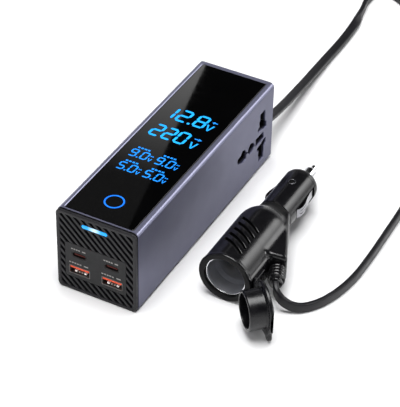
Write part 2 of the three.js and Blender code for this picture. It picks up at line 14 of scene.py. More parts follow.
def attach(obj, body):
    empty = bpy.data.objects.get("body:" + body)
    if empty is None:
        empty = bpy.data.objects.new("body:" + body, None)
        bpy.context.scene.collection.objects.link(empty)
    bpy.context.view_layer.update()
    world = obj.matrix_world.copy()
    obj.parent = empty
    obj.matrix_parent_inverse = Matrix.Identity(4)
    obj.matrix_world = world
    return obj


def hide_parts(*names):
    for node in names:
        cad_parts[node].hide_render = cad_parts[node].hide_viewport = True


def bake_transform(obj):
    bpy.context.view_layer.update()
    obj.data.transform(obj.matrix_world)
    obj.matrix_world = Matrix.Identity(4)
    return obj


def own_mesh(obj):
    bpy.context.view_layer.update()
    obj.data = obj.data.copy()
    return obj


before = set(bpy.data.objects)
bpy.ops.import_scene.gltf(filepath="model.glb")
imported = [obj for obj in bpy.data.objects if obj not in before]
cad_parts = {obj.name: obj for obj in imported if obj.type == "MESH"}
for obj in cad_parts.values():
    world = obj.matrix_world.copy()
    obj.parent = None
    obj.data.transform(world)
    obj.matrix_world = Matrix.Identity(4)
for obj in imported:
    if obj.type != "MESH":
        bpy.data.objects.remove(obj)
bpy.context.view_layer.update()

MM = 0.001
scene = bpy.context.scene


# Camera

CAMERA = {
    "azimuth": 27.44, "elevation": 38.35, "roll": 1.30,
    "focal_px": 1789.0, "long_side_px": 407.0, "distance": 1037.0, "offset": (-18.01, -8.34),
}


def camera_axes():
    a, e, r = (math.radians(CAMERA[k]) for k in ("azimuth", "elevation", "roll"))
    back = Vector((math.sin(a) * math.cos(e), -math.cos(a) * math.cos(e), math.sin(e)))
    right = Vector((0, 0, 1)).cross(back).normalized()
    up = back.cross(right)
    return right * math.cos(r) + up * math.sin(r), up * math.cos(r) - right * math.sin(r), back


def make_camera():
    right, up, back = camera_axes()
    x, y = CAMERA["offset"]
    eye = back * CAMERA["distance"] - right * x - up * y
    data = bpy.data.cameras.new("camera")
    data.sensor_width = 36.0
    data.lens = CAMERA["focal_px"] * 36.0 / CAMERA["long_side_px"]
    data.clip_start, data.clip_end = 0.05, 50.0
    camera = bpy.data.objects.new("camera", data)
    scene.collection.objects.link(camera)
    turn = Matrix((right, up, back)).transposed()
    camera.matrix_world = Matrix.Translation(eye * MM) @ turn.to_4x4()
    scene.camera = camera
    return eye


EYE = make_camera()


# Materials

class Nodes:
    """A material's node tree, with short ways to add the nodes that the looks share."""

    def __init__(self, name):
        self.material = bpy.data.materials.new(name)
        self.material.use_nodes = True
        self.tree = self.material.node_tree
        self.shader = self.tree.nodes["Principled BSDF"]
        self.where = self.tree.nodes.new("ShaderNodeTexCoord").outputs["Object"]

    def link(self, output, target):
        self.tree.links.new(output, target)

    def add(self, kind, **values):
        """A node of a kind, with constants on its inputs. An underscore stands for a space in their names."""
        node = self.tree.nodes.new("ShaderNode" + kind)
        for name, value in values.items():
            node.inputs[name.replace("_", " ")].default_value = value
        return node

    def noise(self, scale, detail=3.0, stretch=None):
        node = self.add("TexNoise", Scale=scale, Detail=detail)
        source = self.where
        if stretch:
            mapping = self.add("Mapping", Scale=stretch)
            self.link(source, mapping.inputs["Vector"])
            source = mapping.outputs["Vector"]
        self.link(source, node.inputs["Vector"])
        return node.outputs["Fac"]

    def spread(self, value, low, high, source=(0.35, 0.65)):
        node = self.add("MapRange", From_Min=source[0], From_Max=source[1], To_Min=low, To_Max=high)
        self.link(value, node.inputs["Value"])
        return node.outputs["Result"]

    def mix(self, factor, dark, light):
        node = self.tree.nodes.new("ShaderNodeMix")
        node.data_type = "RGBA"
        node.inputs["A"].default_value = (*dark, 1)
        node.inputs["B"].default_value = (*light, 1)
        self.link(factor, node.inputs["Factor"])
        return node.outputs["Result"]

    def bump(self, height, strength, distance):
        node = self.add("Bump", Strength=strength, Distance=distance)
        self.link(height, node.inputs["Height"])
        self.link(node.outputs["Normal"], self.shader.inputs["Normal"])

    def math(self, operation, value, other=0.0):
        node = self.add("Math")
        node.operation = operation
        node.inputs[1].default_value = other
        self.link(value, node.inputs[0])
        return node.outputs[0]

    def place_on(self, axis):
        """The object's own X, Y or Z at each point, in metres."""
        apart = self.add("SeparateXYZ")
        self.link(self.where, apart.inputs["Vector"])
        return apart.outputs[axis]

    def set(self, **values):
        for name, value in values.items():
            self.shader.inputs[name.replace("_", " ")].default_value = value


def srgb(r, g, b):
    """A colour given as 0 to 255 on a screen, in linear light."""
    def linear(v):
        v = v / 255
        return v / 12.92 if v <= 0.04045 else ((v + 0.055) / 1.055) ** 2.4
    return tuple(linear(v) for v in (r, g, b))


def shade(colour, factor):
    return tuple(min(1.0, v * factor) for v in colour)


def look(name, colour, roughness, metallic=0.0, vary=0.12, patch=60, rough_vary=0.06,
         grain=2500, grain_strength=0.1, grain_depth=0.00002, stretch=None, specular=0.5):
    """A surface whose colour and roughness drift a little, with a fine grain."""
    n = Nodes(name)
    n.set(Metallic=metallic, Specular_IOR_Level=specular)
    drift = n.noise(patch, 4.0)
    n.link(n.mix(n.spread(drift, 0, 1), shade(colour, 1 - vary), shade(colour, 1 + vary)),
           n.shader.inputs["Base Color"])
    rough = n.noise(patch * 4, 5.0)
    n.link(n.spread(rough, max(0.02, roughness - rough_vary), roughness + rough_vary),
           n.shader.inputs["Roughness"])
    n.bump(n.noise(grain, 2.0, stretch), grain_strength, grain_depth)
    return n.material


def glowing(name, centre, edge, strength, half_length, middle_x=0.0):
    """A lit window, hottest in its middle along X."""
    n = Nodes(name)
    n.set(Roughness=0.3, Base_Color=(*shade(edge, 0.4), 1))
    away = n.math("ABSOLUTE", n.math("SUBTRACT", n.place_on("X"), middle_x * MM))
    heat = n.spread(away, 0, 1, (0.02 * half_length * MM, 0.5 * half_length * MM))
    n.link(n.mix(heat, centre, edge), n.shader.inputs["Emission Color"])
    n.link(n.spread(n.noise(900, 2.0), 0.94 * strength, 1.06 * strength), n.shader.inputs["Emission Strength"])
    return n.material


LOOKS = {
    # A lighter, glossier copy of the anodised aluminium for the upward faces of the case top: painted light on the
    # top land and chamfers.
    "aluminium_painted_lit_top": look("anodised_painted_lit_top", (0.185, 0.188, 0.27), 0.22, 0.6, vary=0.015, patch=20, rough_vary=0.02,
                           grain=7000, grain_strength=0.06),
    "aluminium": look("anodised_aluminium", (0.100, 0.102, 0.160), 0.40, 0.80, vary=0.015, patch=20,
                      rough_vary=0.02, grain=7000),
    "glass": look("black_glass", (0.0006, 0.0006, 0.0007), 0.03, vary=0.2, rough_vary=0.008, grain=300,
                  grain_strength=0.004),
    "ribbed": look("ribbed_black", (0.0066, 0.0062, 0.0080), 0.42, vary=0.12, grain=4200, grain_strength=0.2,
                   grain_depth=0.00003, specular=0.32),
    # Darker and duller than the other black plastics, for the grooves between the front ribs and in the plug's
    # vents: painted shade.
    "groove": look("groove_painted_shade", (0.0012, 0.0012, 0.0013), 0.6, vary=0.2, grain=4200, specular=0.05),
    "panel": look("port_panel_black", (0.0068, 0.0067, 0.0076), 0.45, vary=0.08, grain=5000, grain_strength=0.18,
                  grain_depth=0.00003, specular=0.28),
    "gloss": look("gloss_black_plastic", (0.0028, 0.0027, 0.0034), 0.22, vary=0.15, rough_vary=0.02, grain=700,
                  grain_strength=0.03, specular=0.5),
    "rim": look("matt_rim_plastic", (0.0022, 0.0022, 0.0024), 0.5, vary=0.12, rough_vary=0.04, grain=2400,
                grain_strength=0.08, specular=0.15),
    "rubber": look("black_rubber", (0.0036, 0.0035, 0.0044), 0.25, vary=0.15, rough_vary=0.04, grain=2600,
                   grain_strength=0.08, specular=0.4),
    "boot": look("boot_rubber", (0.0035, 0.0034, 0.0040), 0.20, vary=0.15, rough_vary=0.03, grain=2600,
                 grain_strength=0.05, specular=0.8),
    "lead": look("lead_rubber", (0.0070, 0.0066, 0.0084), 0.38, vary=0.1, rough_vary=0.04, grain=3600,
                 grain_strength=0.14, specular=0.28),
    "steel": look("nickel_steel", (0.50, 0.50, 0.51), 0.26, 1.0, vary=0.06, grain=3000, stretch=(1, 0.05, 1)),
    "dull_steel": look("dull_shell_steel", (0.19, 0.185, 0.18), 0.4, 0.9, vary=0.1, grain=3000),
    "dark_shell": look("dark_shell_steel", (0.045, 0.042, 0.042), 0.4, 0.8, vary=0.1, grain=3000),
    "liner": look("turned_liner", (0.50, 0.51, 0.55), 0.34, 0.75, vary=0.10, patch=90, grain=1800,
                  stretch=(1, 8, 1), grain_strength=0.05),
    "liner_lip": look("turned_lip", (0.75, 0.76, 0.78), 0.16, 1.0, vary=0.05, patch=90, grain=900,
                      grain_strength=0.03),
    "chrome": look("bright_chrome", (0.80, 0.80, 0.82), 0.12, 1.0, vary=0.03, rough_vary=0.02, grain=500,
                   grain_strength=0.02),
    "leaf": look("sprung_steel", (0.30, 0.30, 0.32), 0.25, 1.0, vary=0.06, rough_vary=0.03, grain=900,
                 stretch=(1, 0.1, 1), grain_strength=0.05),
    "brass": look("brass", (0.72, 0.52, 0.22), 0.28, 1.0, vary=0.1),
    "orange": look("orange_plastic", srgb(226, 78, 40), 0.42, vary=0.06, specular=0.3),
    "dark_red": look("dark_red_plastic", srgb(84, 20, 12), 0.45, vary=0.12, specular=0.2),
    # One contact metal in two copies: a pale one for the outer pads and a dim one for the inner pads, painted
    # light and painted shade.
    "contact_painted_lit": look("contact_painted_lit", (0.95, 0.9, 0.86), 0.3, 0.0, vary=0.04),
    "contact_painted_shade": look("contact_painted_shade", (0.26, 0.22, 0.2), 0.35, 0.2, vary=0.06),
    "marking": look("grey_marking", srgb(150, 148, 146), 0.55, vary=0.06, specular=0.2),
    "board": look("green_board", srgb(18, 84, 46), 0.45, vary=0.2, patch=300),
    "ferrite": look("ferrite", srgb(52, 52, 56), 0.6, vary=0.2, patch=200),
    "tape": look("winding_tape", srgb(222, 170, 40), 0.4, vary=0.08, patch=120),
    "can": look("capacitor_sleeve", srgb(26, 30, 60), 0.3, vary=0.1),
    "dark_plastic": look("dark_moulding", (0.005, 0.005, 0.006), 0.5, vary=0.15, specular=0.25),
    "digits": glowing("blue_digits", srgb(30, 176, 255), srgb(22, 164, 255), 1.0, 22),
    "small_digits": glowing("small_blue_digits", srgb(26, 152, 255), srgb(22, 142, 252), 0.95, 22),
    "ring": glowing("touch_ring_blue", srgb(22, 132, 250), srgb(18, 116, 250), 0.95, 12),
    "light": glowing("cyan_light", srgb(225, 250, 255), srgb(0, 158, 240), 1.1, 8.3, -1.1),
}


# Shapes

def fillet(points, radius, steps=4, closed=True):
    """Rounds the corners of a 2-D line. A point's own third number, if it has one, is its radius."""
    result, count = [], len(points)
    for i, point in enumerate(points):
        here = np.array(point[:2], float)
        r = point[2] if len(point) > 2 else radius
        if not closed and i in (0, count - 1) or r <= 0:
            result.append(tuple(here))
            continue
        before = np.array(points[i - 1][:2], float) - here
        after = np.array(points[(i + 1) % count][:2], float) - here
        lb, la = np.linalg.norm(before), np.linalg.norm(after)
        cosine = np.clip(before @ after / (lb * la), -1, 1)
        turn = math.pi - math.acos(cosine)
        if turn < 0.05:
            result.append(tuple(here))
            continue
        cut = min(r * math.tan(turn / 2), 0.48 * lb, 0.48 * la)
        a, b = here + before / lb * cut, here + after / la * cut
        for k in range(steps + 1):
            t = k / steps
            result.append(tuple((1 - t) ** 2 * a + 2 * t * (1 - t) * here + t * t * b))
    return result


def rounded_rect(cx, cy, width, height, radius, steps=6):
    """A rectangle with quarter circles at its corners, counterclockwise."""
    w, h = width / 2 - radius, height / 2 - radius
    result = []
    for x, y, start in ((cx - w, cy - h, 180), (cx + w, cy - h, 270), (cx + w, cy + h, 0), (cx - w, cy + h, 90)):
        for k in range(steps + 1):
            a = math.radians(start + 90 * k / steps)
            result.append((x + radius * math.cos(a), y + radius * math.sin(a)))
    return result


def grown(outline, distance):
    """A counterclockwise outline moved outward, with mitred corners."""
    pts = np.array(outline, float)
    before, after = np.roll(pts, 1, 0), np.roll(pts, -1, 0)
    def outward(a, b):
        d = b - a
        d /= np.linalg.norm(d, axis=1, keepdims=True)
        return np.stack([d[:, 1], -d[:, 0]], 1)
    n1, n2 = outward(before, pts), outward(pts, after)
    bisector = n1 + n2
    scale = distance * 2 / np.maximum((bisector ** 2).sum(1, keepdims=True), 0.6)
    return [tuple(p) for p in pts + bisector * scale]


def counterclockwise(points):
    area = sum(a[0] * b[1] - b[0] * a[1] for a, b in zip(points, points[1:] + points[:1]))
    return points if area > 0 else points[::-1]


PLANES = {
    # where a 2-D point (u, v) and a height w go, so that u x v = w
    "x": lambda u, v, w: (w, u, v),
    "y": lambda u, v, w: (u, -w, v),
    "z": lambda u, v, w: (u, v, w),
}


def new_object(name, mesh):
    obj = bpy.data.objects.new(name, mesh)
    scene.collection.objects.link(obj)
    return obj


def mesh_object(name, vertices, faces):
    mesh = bpy.data.meshes.new(name)
    mesh.from_pydata([tuple(np.array(v, float) * MM) for v in vertices], [], [list(f) for f in faces])
    mesh.validate()
    return new_object(name, mesh)


def ring_faces(rings, n, closed=False):
    """Quads between neighbouring rings of n points. Open rings get a cap at each end."""
    faces = []
    for s in range(rings if closed else rings - 1):
        here, there = s * n, (s + 1) % rings * n
        faces += [[here + i, here + (i + 1) % n, there + (i + 1) % n, there + i] for i in range(n)]
    if closed:
        return faces
    return [list(range(n))[::-1], *faces, [(rings - 1) * n + i for i in range(n)]]


def loft(name, sections, plane):
    """A closed solid through outlines of equal counts: [(outline, w), ...], with w rising."""
    place = PLANES[plane]
    vertices = [place(u, v, w) for outline, w in sections for u, v in outline]
    return mesh_object(name, vertices, ring_faces(len(sections), len(sections[0][0])))


def plate(name, outline, plane, low, high, bevel=0.0, holes=()):
    """A flat plate with rounded edges and holes, from w = low to w = high."""
    curve = bpy.data.curves.new(name, "CURVE")
    curve.dimensions = "2D"
    curve.fill_mode = "BOTH"
    for points in [outline, *holes]:
        spline = curve.splines.new("POLY")
        spline.points.add(len(points) - 1)
        spline.use_cyclic_u = True
        for point, (u, v) in zip(spline.points, points):
            point.co = (u * MM, v * MM, 0, 1)
    curve.extrude = max(1e-6, ((high - low) / 2 - bevel) * MM)
    curve.bevel_depth = bevel * MM
    curve.bevel_resolution = 2
    curve.offset = -bevel * MM
    source = new_object(name + "_curve", curve)
    mesh = bpy.data.meshes.new_from_object(source.evaluated_get(bpy.context.evaluated_depsgraph_get()))
    bpy.data.objects.remove(source)
    bpy.data.curves.remove(curve)
    middle = (low + high) / 2 * MM
    place = PLANES[plane]
    for vertex in mesh.vertices:
        u, v, w = vertex.co
        vertex.co = place(u, v, w + middle)
    weld(mesh)
    mesh.name = name
    return new_object(name, mesh)


def weld(mesh, distance=0.002):
    """Joins points closer than a distance, if there is one, and turns every face outward."""
    b = bmesh.new()
    b.from_mesh(mesh)
    if distance:
        bmesh.ops.remove_doubles(b, verts=b.verts, dist=distance * MM)
    bmesh.ops.recalc_face_normals(b, faces=b.faces)
    b.to_mesh(mesh)
    b.free()


def box(name, x0, x1, y0, y1, z0, z1, bevel=0.0):
    outline = [(x0, y0), (x1, y0), (x1, y1), (x0, y1)]
    if bevel:
        return plate(name, fillet(outline, bevel, 3), "z", z0, z1, bevel)
    return loft(name, [(outline, z0), (outline, z1)], "z")


def revolve(name, profile, segments, frame_of):
    """Turns [(radius, station), ...] about an axis. frame_of gives the axis as a 4x4 matrix whose Z runs
    along it. A profile either starts and ends on the axis or closes on itself."""
    closed = int(profile[0][0] > 1e-6)
    vertices, rings = [], []
    for radius, station in profile:
        if radius <= 1e-6:
            rings.append([len(vertices)] * segments)
            vertices.append((0, 0, station))
            continue
        rings.append([len(vertices) + k for k in range(segments)])
        for k in range(segments):
            a = 2 * math.pi * k / segments
            vertices.append((radius * math.cos(a), radius * math.sin(a), station))
    faces = []
    for one, two in zip(rings, rings[1:] + rings[:closed]):
        for k in range(segments):
            j = (k + 1) % segments
            corners = [one[k], one[j], two[j], two[k]]
            face = [c for i, c in enumerate(corners) if c != corners[i - 1]]
            if len(face) > 2:
                faces.append(face)
    obj = mesh_object(name, [tuple(frame_of @ Vector(v)) for v in vertices], faces)
    weld(obj.data, 0)
    return obj


def along_y(x, z, y=0):
    """An axis along +Y through (x, z), with stations measured from y."""
    return Matrix(((1, 0, 0, x), (0, 0, 1, y), (0, -1, 0, z), (0, 0, 0, 1)))


def turned(name, points, segments, frame_of, radius=0.1, steps=4, closed=True):
    """A revolved solid whose profile has rounded corners."""
    return revolve(name, fillet(points, radius, steps, closed), segments, frame_of)


def apply_modifiers(obj):
    mesh = bpy.data.meshes.new_from_object(obj.evaluated_get(bpy.context.evaluated_depsgraph_get()))
    obj.modifiers.clear()
    old, obj.data = obj.data, mesh
    bpy.data.meshes.remove(old)
    mesh.name = obj.name


def carve(obj, other, operation="DIFFERENCE"):
    modifier = obj.modifiers.new("carve", "BOOLEAN")
    modifier.object, modifier.operation, modifier.solver = other, operation, "MANIFOLD"
    apply_modifiers(obj)
    bpy.data.objects.remove(other)
    return obj


def soften(obj, width, angle=35):
    modifier = obj.modifiers.new("soften", "BEVEL")
    modifier.width, modifier.segments = width * MM, 2
    modifier.limit_method, modifier.angle_limit = "ANGLE", math.radians(angle)
    modifier.harden_normals = False
    apply_modifiers(obj)
    return obj


def joined(name, parts):
    """Several meshes as one piece."""
    b = bmesh.new()
    finishes = []
    for part in parts:
        start = len(b.faces)
        b.from_mesh(part.data)
        own = list(part.data.materials)
        if own and own[0] not in finishes:
            finishes.append(own[0])
        b.faces.ensure_lookup_table()
        for face in b.faces[start:]:
            face.material_index = finishes.index(own[0]) if own else 0
        bpy.data.objects.remove(part)
    mesh = bpy.data.meshes.new(name)
    b.to_mesh(mesh)
    b.free()
    for finish in finishes:
        mesh.materials.append(finish)
    return new_object(name, mesh)


def smoother_min(a, b, k):
    h = np.maximum(k - np.abs(a - b), 0) / k
    return np.minimum(a, b) - h * h * k / 4


def smoother_max(a, b, k):
    return -smoother_min(-a, -b, k)


def surface(name, field, low, high, step):
    """A closed smooth mesh where field(x, y, z) is zero, negative inside."""
    axes = [np.arange(l - step, h + 1.5 * step, step) for l, h in zip(low, high)]
    grid = np.meshgrid(*axes, indexing="ij")
    values = field(*grid)
    n = [s - 1 for s in values.shape]
    corners = [(i, j, k) for i in (0, 1) for j in (0, 1) for k in (0, 1)]
    part = {c: values[c[0]:c[0] + n[0], c[1]:c[1] + n[1], c[2]:c[2] + n[2]] for c in corners}
    total, hits = np.zeros((*n, 3)), np.zeros(n)
    for a in corners:
        for axis in range(3):
            if a[axis]:
                continue
            b = tuple(1 if i == axis else a[i] for i in range(3))
            va, vb = part[a], part[b]
            crossed = (va < 0) != (vb < 0)
            t = np.where(crossed, va / np.where(crossed, va - vb, 1), 0)
            for i in range(3):
                total[..., i] += np.where(crossed, a[i] + (t if i == axis else 0), 0)
            hits += crossed
    active = hits > 0
    index = np.full(n, -1)
    index[active] = np.arange(active.sum())
    cells = np.argwhere(active)
    origin = np.array([ax[0] for ax in axes])
    points = origin + step * (cells + total[active] / hits[active][:, None])
    quads = []
    inside = values < 0
    for axis in range(3):
        u, v = [i for i in range(3) if i != axis]
        lo = [slice(1, -1)] * 3
        hi = [slice(1, -1)] * 3
        lo[axis], hi[axis] = slice(0, -1), slice(1, None)
        first, second = inside[tuple(lo)], inside[tuple(hi)]
        for way in (True, False):
            found = np.argwhere(first & ~second if way else ~first & second)
            found[:, u] += 1
            found[:, v] += 1
            around = []
            for du, dv in ((1, 1), (0, 1), (0, 0), (1, 0)):
                cell = found.copy()
                cell[:, u] -= du
                cell[:, v] -= dv
                around.append(index[cell[:, 0], cell[:, 1], cell[:, 2]])
            quad = np.stack(around, 1)
            forward = way == (axis != 1)
            quads.append(quad if forward else quad[:, ::-1])
    quads = np.concatenate(quads)
    h = 0.02
    def gradient(p):
        g = []
        for i in range(3):
            d = np.zeros(3)
            d[i] = h
            g.append((field(*(p + d).T) - field(*(p - d).T)) / (2 * h))
        return np.stack(g, 1)
    for _ in range(4):
        f, g = field(*points.T), gradient(points)
        move = g * (f / np.maximum((g ** 2).sum(1), 1e-3))[:, None]
        size = np.linalg.norm(move, axis=1, keepdims=True)
        points = points - move * np.minimum(1, 0.5 * step / np.maximum(size, 1e-9))
    mesh = bpy.data.meshes.new(name)
    mesh.from_pydata((points * MM).tolist(), [], quads.tolist())
    mesh.update()
    return new_object(name, mesh)


def curve_points(nodes, count):
    """Evenly spaced points on the centripetal Catmull-Rom curve through the nodes."""
    p = [np.array(n, float) for n in nodes]
    fine = []
    for i in range(len(p) - 1):
        p1, p2 = p[i], p[i + 1]
        p0 = p[i - 1] if i else 2 * p[0] - p[1]
        p3 = p[i + 2] if i + 2 < len(p) else 2 * p[-1] - p[-2]
        d0, d1, d2 = (max(np.linalg.norm(b - a) ** 0.5, 1e-4) for a, b in ((p0, p1), (p1, p2), (p2, p3)))
        t1 = ((p1 - p0) / d0 - (p2 - p0) / (d0 + d1) + (p2 - p1) / d1) * d1
        t2 = ((p2 - p1) / d1 - (p3 - p1) / (d1 + d2) + (p3 - p2) / d2) * d1
        for k in range(40):
            t = k / 40
            c2 = -3 * p1 + 3 * p2 - 2 * t1 - t2
            c3 = 2 * p1 - 2 * p2 + t1 + t2
            fine.append(p1 + t1 * t + c2 * t * t + c3 * t ** 3)
    fine.append(p[-1])
    fine = np.array(fine)
    along = np.concatenate([[0], np.cumsum(np.linalg.norm(np.diff(fine, axis=0), axis=1))])
    wanted = np.linspace(0, along[-1], count)
    return np.stack([np.interp(wanted, along, fine[:, i]) for i in range(3)], 1), along[-1]


def sweep(name, points, section_at, wide_at):
    """A closed tube along points. section_at(fraction) gives the 2-D outline, and wide_at(fraction) the angle
    of its long way above level, in degrees."""
    tangent = np.gradient(points, axis=0)
    tangent /= np.linalg.norm(tangent, axis=1, keepdims=True)
    vertices, count = [], len(points)
    for i, (p, t) in enumerate(zip(points, tangent)):
        level = np.cross([0, 0, 1], t)
        level /= np.linalg.norm(level)
        rising = np.cross(t, level)
        a = math.radians(wide_at(i / (count - 1)))
        wide = math.cos(a) * level + math.sin(a) * rising
        thin = np.cross(t, wide)
        vertices += [p + u * wide + v * thin for u, v in section_at(i / (count - 1))]
    return mesh_object(name, vertices, ring_faces(count, len(vertices) // count))


def finish_piece(obj, material, body="inverter", replaces=(), angle=32, flat=True):
    """Gives a piece its finish and its body, and hides the CAD nodes that it stands for."""
    if material:
        obj.data.materials.clear()
        obj.data.materials.append(LOOKS[material])
    obj.data.shade_smooth()
    obj.data.set_sharp_from_angle(angle=math.radians(angle))
    if flat:
        weighted = obj.modifiers.new("weighted", "WEIGHTED_NORMAL")
        weighted.keep_sharp = True
        apply_modifiers(obj)
    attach(obj, body)
    if replaces:
        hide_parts(*replaces)
    return obj


# Plug position and the lead, which come first

PLUG_X, PLUG_Z, MOUTH_Y = 61.0, 16.0, -48.5
ALONG_PLUG = along_y(PLUG_X, PLUG_Z, MOUTH_Y)

LEAD_ROUTE = [
    (16.0, 89.6, 17.4), (15.9, 96, 16.6), (15.6, 105, 14.9), (14.9, 122, 12.0),
    (13.8, 140, 9.3), (12.7, 158, 6.9), (11.7, 176, 5.0), (11.1, 192, 3.7),
    (11.0, 208, 3.1), (10.7, 224, 3.0), (9.6, 240, 3.0), (7.2, 256, 3.0),
    (4.8, 270, 3.0), (6.2, 281, 3.0), (14.2, 286.3, 3.0), (22.6, 283.3, 3.0),
    (33, 275.6, 3.0), (46, 264, 3.0), (60, 247, 3.0), (74, 224, 3.0),
    (86.5, 197, 3.0), (97.5, 166, 3.0), (106.5, 134, 3.0), (112.8, 104, 3.0),
    (116.0, 76, 3.0), (117.1, 46, 3.0), (117.6, 20, 3.0), (116.9, 0, 3.0),
    (113.9, -16, 3.0), (108.8, -28.5, 3.0), (102.2, -36.4, 3.3), (96.6, -39.4, 5.0),
    (91.8, -40.4, 8.2), (88.4, -39.2, 11.2), (86.9, -37.2, 12.3), (86.12, -35.56, 12.55),
]
LEAD_WIDTH, LEAD_THICKNESS = 5.8, 3.0


def lead_tilt(fraction):
    """The lead lies flat behind the case and stands on its edge from the far bend to the plug."""
    flat_until, on_edge_from = 0.24, 0.29
    t = min(1, max(0, (fraction - flat_until) / (on_edge_from - flat_until)))
    return 90 * t * t * (3 - 2 * t)


def make_lead():
    points, length = curve_points(LEAD_ROUTE, 520)
    section = rounded_rect(0, 0, LEAD_WIDTH, LEAD_THICKNESS, 0.9, 4)
    lead = sweep("power_cord", points, lambda f: section, lead_tilt)
    return lead, points, length


lead, lead_points, lead_length = make_lead()
finish_piece(lead, "lead", replaces=["power_cable"], angle=50, flat=False)


# Case

GLASS_BOX = (-21.1, 21.0, -77.3, 79.4)
CASE_BACK = 82.2
AC_Y, AC_Z = 68.2, 24.5
LIVE = [
    (-2.8, 16.9), (-2.8, 12.8), (-3.8, 12.0), (-3.2, 8.6), (-5.4, 7.8), (-5.4, 6.2),
    (-0.5, 5.6), (2.2, 4.3), (5.0, 4.3), (5.0, 7.5), (3.1, 9.5), (2.6, 16.9),
]
CENTRE = [(-7.8, 1.9), (-7.8, -2.3), (-7.2, -2.7), (2.0, -2.7), (2.2, -2.0), (1.6, 1.7)]
ROUND_EARTH = [
    (-17.4, 1.2), (-17.4, -1.2), (-15.8, -3.1), (-13.4, -2.9), (-10.6, -1.5),
    (-9.9, -0.3), (-10.6, 1.2), (-13.4, 2.9), (-15.6, 3.0),
]
EARTH = [
    (-31, 2.2), (-31, -0.6), (-28, -2.2), (-24.6, -3.4), (-20.8, -3.0), (-20.6, -1.0),
    (-19.8, 0.4), (-21.2, 2.4), (-23.4, 4.4), (-25.6, 4.4), (-27.2, 2.4),
]


def case_body():
    outer = rounded_rect(0, 27, 50, 54, 3.0, 10)
    inner = rounded_rect(0, 26.1, 46.8, 49.0, 1.2, 10)
    place = PLANES["y"]
    back = -CASE_BACK
    sections = [(outer, 78.6), (grown(outer, -0.25), 78.85), (grown(inner, 0.1), 78.85), (inner, 78.75),
                (inner, back + 0.1), (grown(inner, 0.1), back), (grown(outer, -0.3), back), (outer, back + 0.3)]
    vertices = [place(u, v, w) for outline, w in sections for u, v in outline]
    sleeve = mesh_object("case_body", vertices, ring_faces(len(sections), len(outer), closed=True))
    weld(sleeve.data)
    x0, x1, y0, y1 = GLASS_BOX
    pocket = rounded_rect((x0 + x1) / 2, (y0 + y1) / 2, x1 - x0 + 0.5, y1 - y0 + 0.5, 0.9, 4)
    window = rounded_rect((x0 + x1) / 2, (y0 + y1) / 2, x1 - x0 - 3.8, y1 - y0 - 3.8, 0.9, 4)
    carve(sleeve, loft("cutter", [(window, 48), (window, 53)], "z"))
    carve(sleeve, loft("cutter", [(pocket, 52.2), (pocket, 53.6), (grown(pocket, 0.4), 54.02),
                                  (grown(pocket, 0.5), 54.6)], "z"))
    mirrored = [(u, -v) for u, v in LIVE]
    for outline in (LIVE, mirrored, CENTRE, ROUND_EARTH, EARTH):
        placed = counterclockwise([(AC_Y + u, AC_Z + v) for u, v in outline])
        rounded = fillet(grown(placed, 0.22), 0.5, 3)
        carve(sleeve, loft("cutter", [(rounded, 20), (rounded, 24.62), (grown(rounded, 0.42), 25.02),
                                      (grown(rounded, 0.5), 26)], "x"))
    slit = [(AC_Y + u, AC_Z + v) for u, v in ((-20.4, -0.7), (-17.0, -0.7), (-17.0, 0.3), (-20.4, 0.3))]
    carve(sleeve, loft("cutter", [(slit, 24.0), (slit, 26)], "x"))
    return sleeve


sleeve = finish_piece(case_body(), "aluminium", replaces=["case_shell"], angle=28)
# The case's upward faces near the top get the lighter copy of the aluminium: painted light on the top land and
# chamfers.
sleeve.data.materials.append(LOOKS["aluminium_painted_lit_top"])
for face in sleeve.data.polygons:
    on_top = face.normal.z > 0.3 and face.center.z > 50 * MM
    face.material_index = int(on_top)


def glass_top():
    x0, x1, y0, y1 = GLASS_BOX
    outline = rounded_rect((x0 + x1) / 2, (y0 + y1) / 2, x1 - x0 + 0.2, y1 - y0 + 0.2, 0.8, 5)
    return plate("glass_top", outline, "z", 52.4, 53.9, 0.45)


finish_piece(glass_top(), "glass", replaces=["top_glass"])


# Display

SEGMENTS = {
    "0": "abcdef", "1": "bc", "2": "abged", "5": "afgcd", "8": "abcdefg", "9": "abcdfg",
}
DISPLAY_TOP = 53.93
SLANT = 0.08


def stroke(a, b, width):
    """A bar with pointed ends between two points."""
    a, b = np.array(a, float), np.array(b, float)
    d = (b - a) / np.linalg.norm(b - a)
    n = np.array([-d[1], d[0]]) * width / 2
    inset = d * width / 2
    return [tuple(p) for p in (a, a + inset - n, b - inset - n, b, b - inset + n, a + inset + n)]


def digit_strokes(char, x, y, width, height, thick):
    h, gap = thick / 2, 0.07 * thick
    left, right, low, high, mid = x + h, x + width - h, y + h, y + height - h, y + height / 2
    ends = {
        "a": ((left, high), (right, high)), "g": ((left, mid), (right, mid)), "d": ((left, low), (right, low)),
        "f": ((left, mid), (left, high)), "b": ((right, mid), (right, high)),
        "e": ((left, low), (left, mid)), "c": ((right, low), (right, mid)),
    }
    strokes = []
    for segment in SEGMENTS[char]:
        a, b = (np.array(p, float) for p in ends[segment])
        d = (b - a) / np.linalg.norm(b - a) * gap
        outline = stroke(a + d, b - d, thick)
        strokes.append([(u + SLANT * (v - y - height / 2), v) for u, v in outline])
    return strokes


def v_strokes(x, y, width, height, thick):
    middle = x + width / 2
    left = [(x, y + height), (middle - thick * 0.45, y), (middle + thick * 0.3, y), (x + thick, y + height)]
    right = [(middle - thick * 0.3, y), (middle + thick * 0.45, y), (x + width, y + height),
             (x + width - thick, y + height)]
    return [left, right]


def dot(x, y, size):
    return [(x, y), (x + size, y), (x + size, y + size), (x, y + size)]


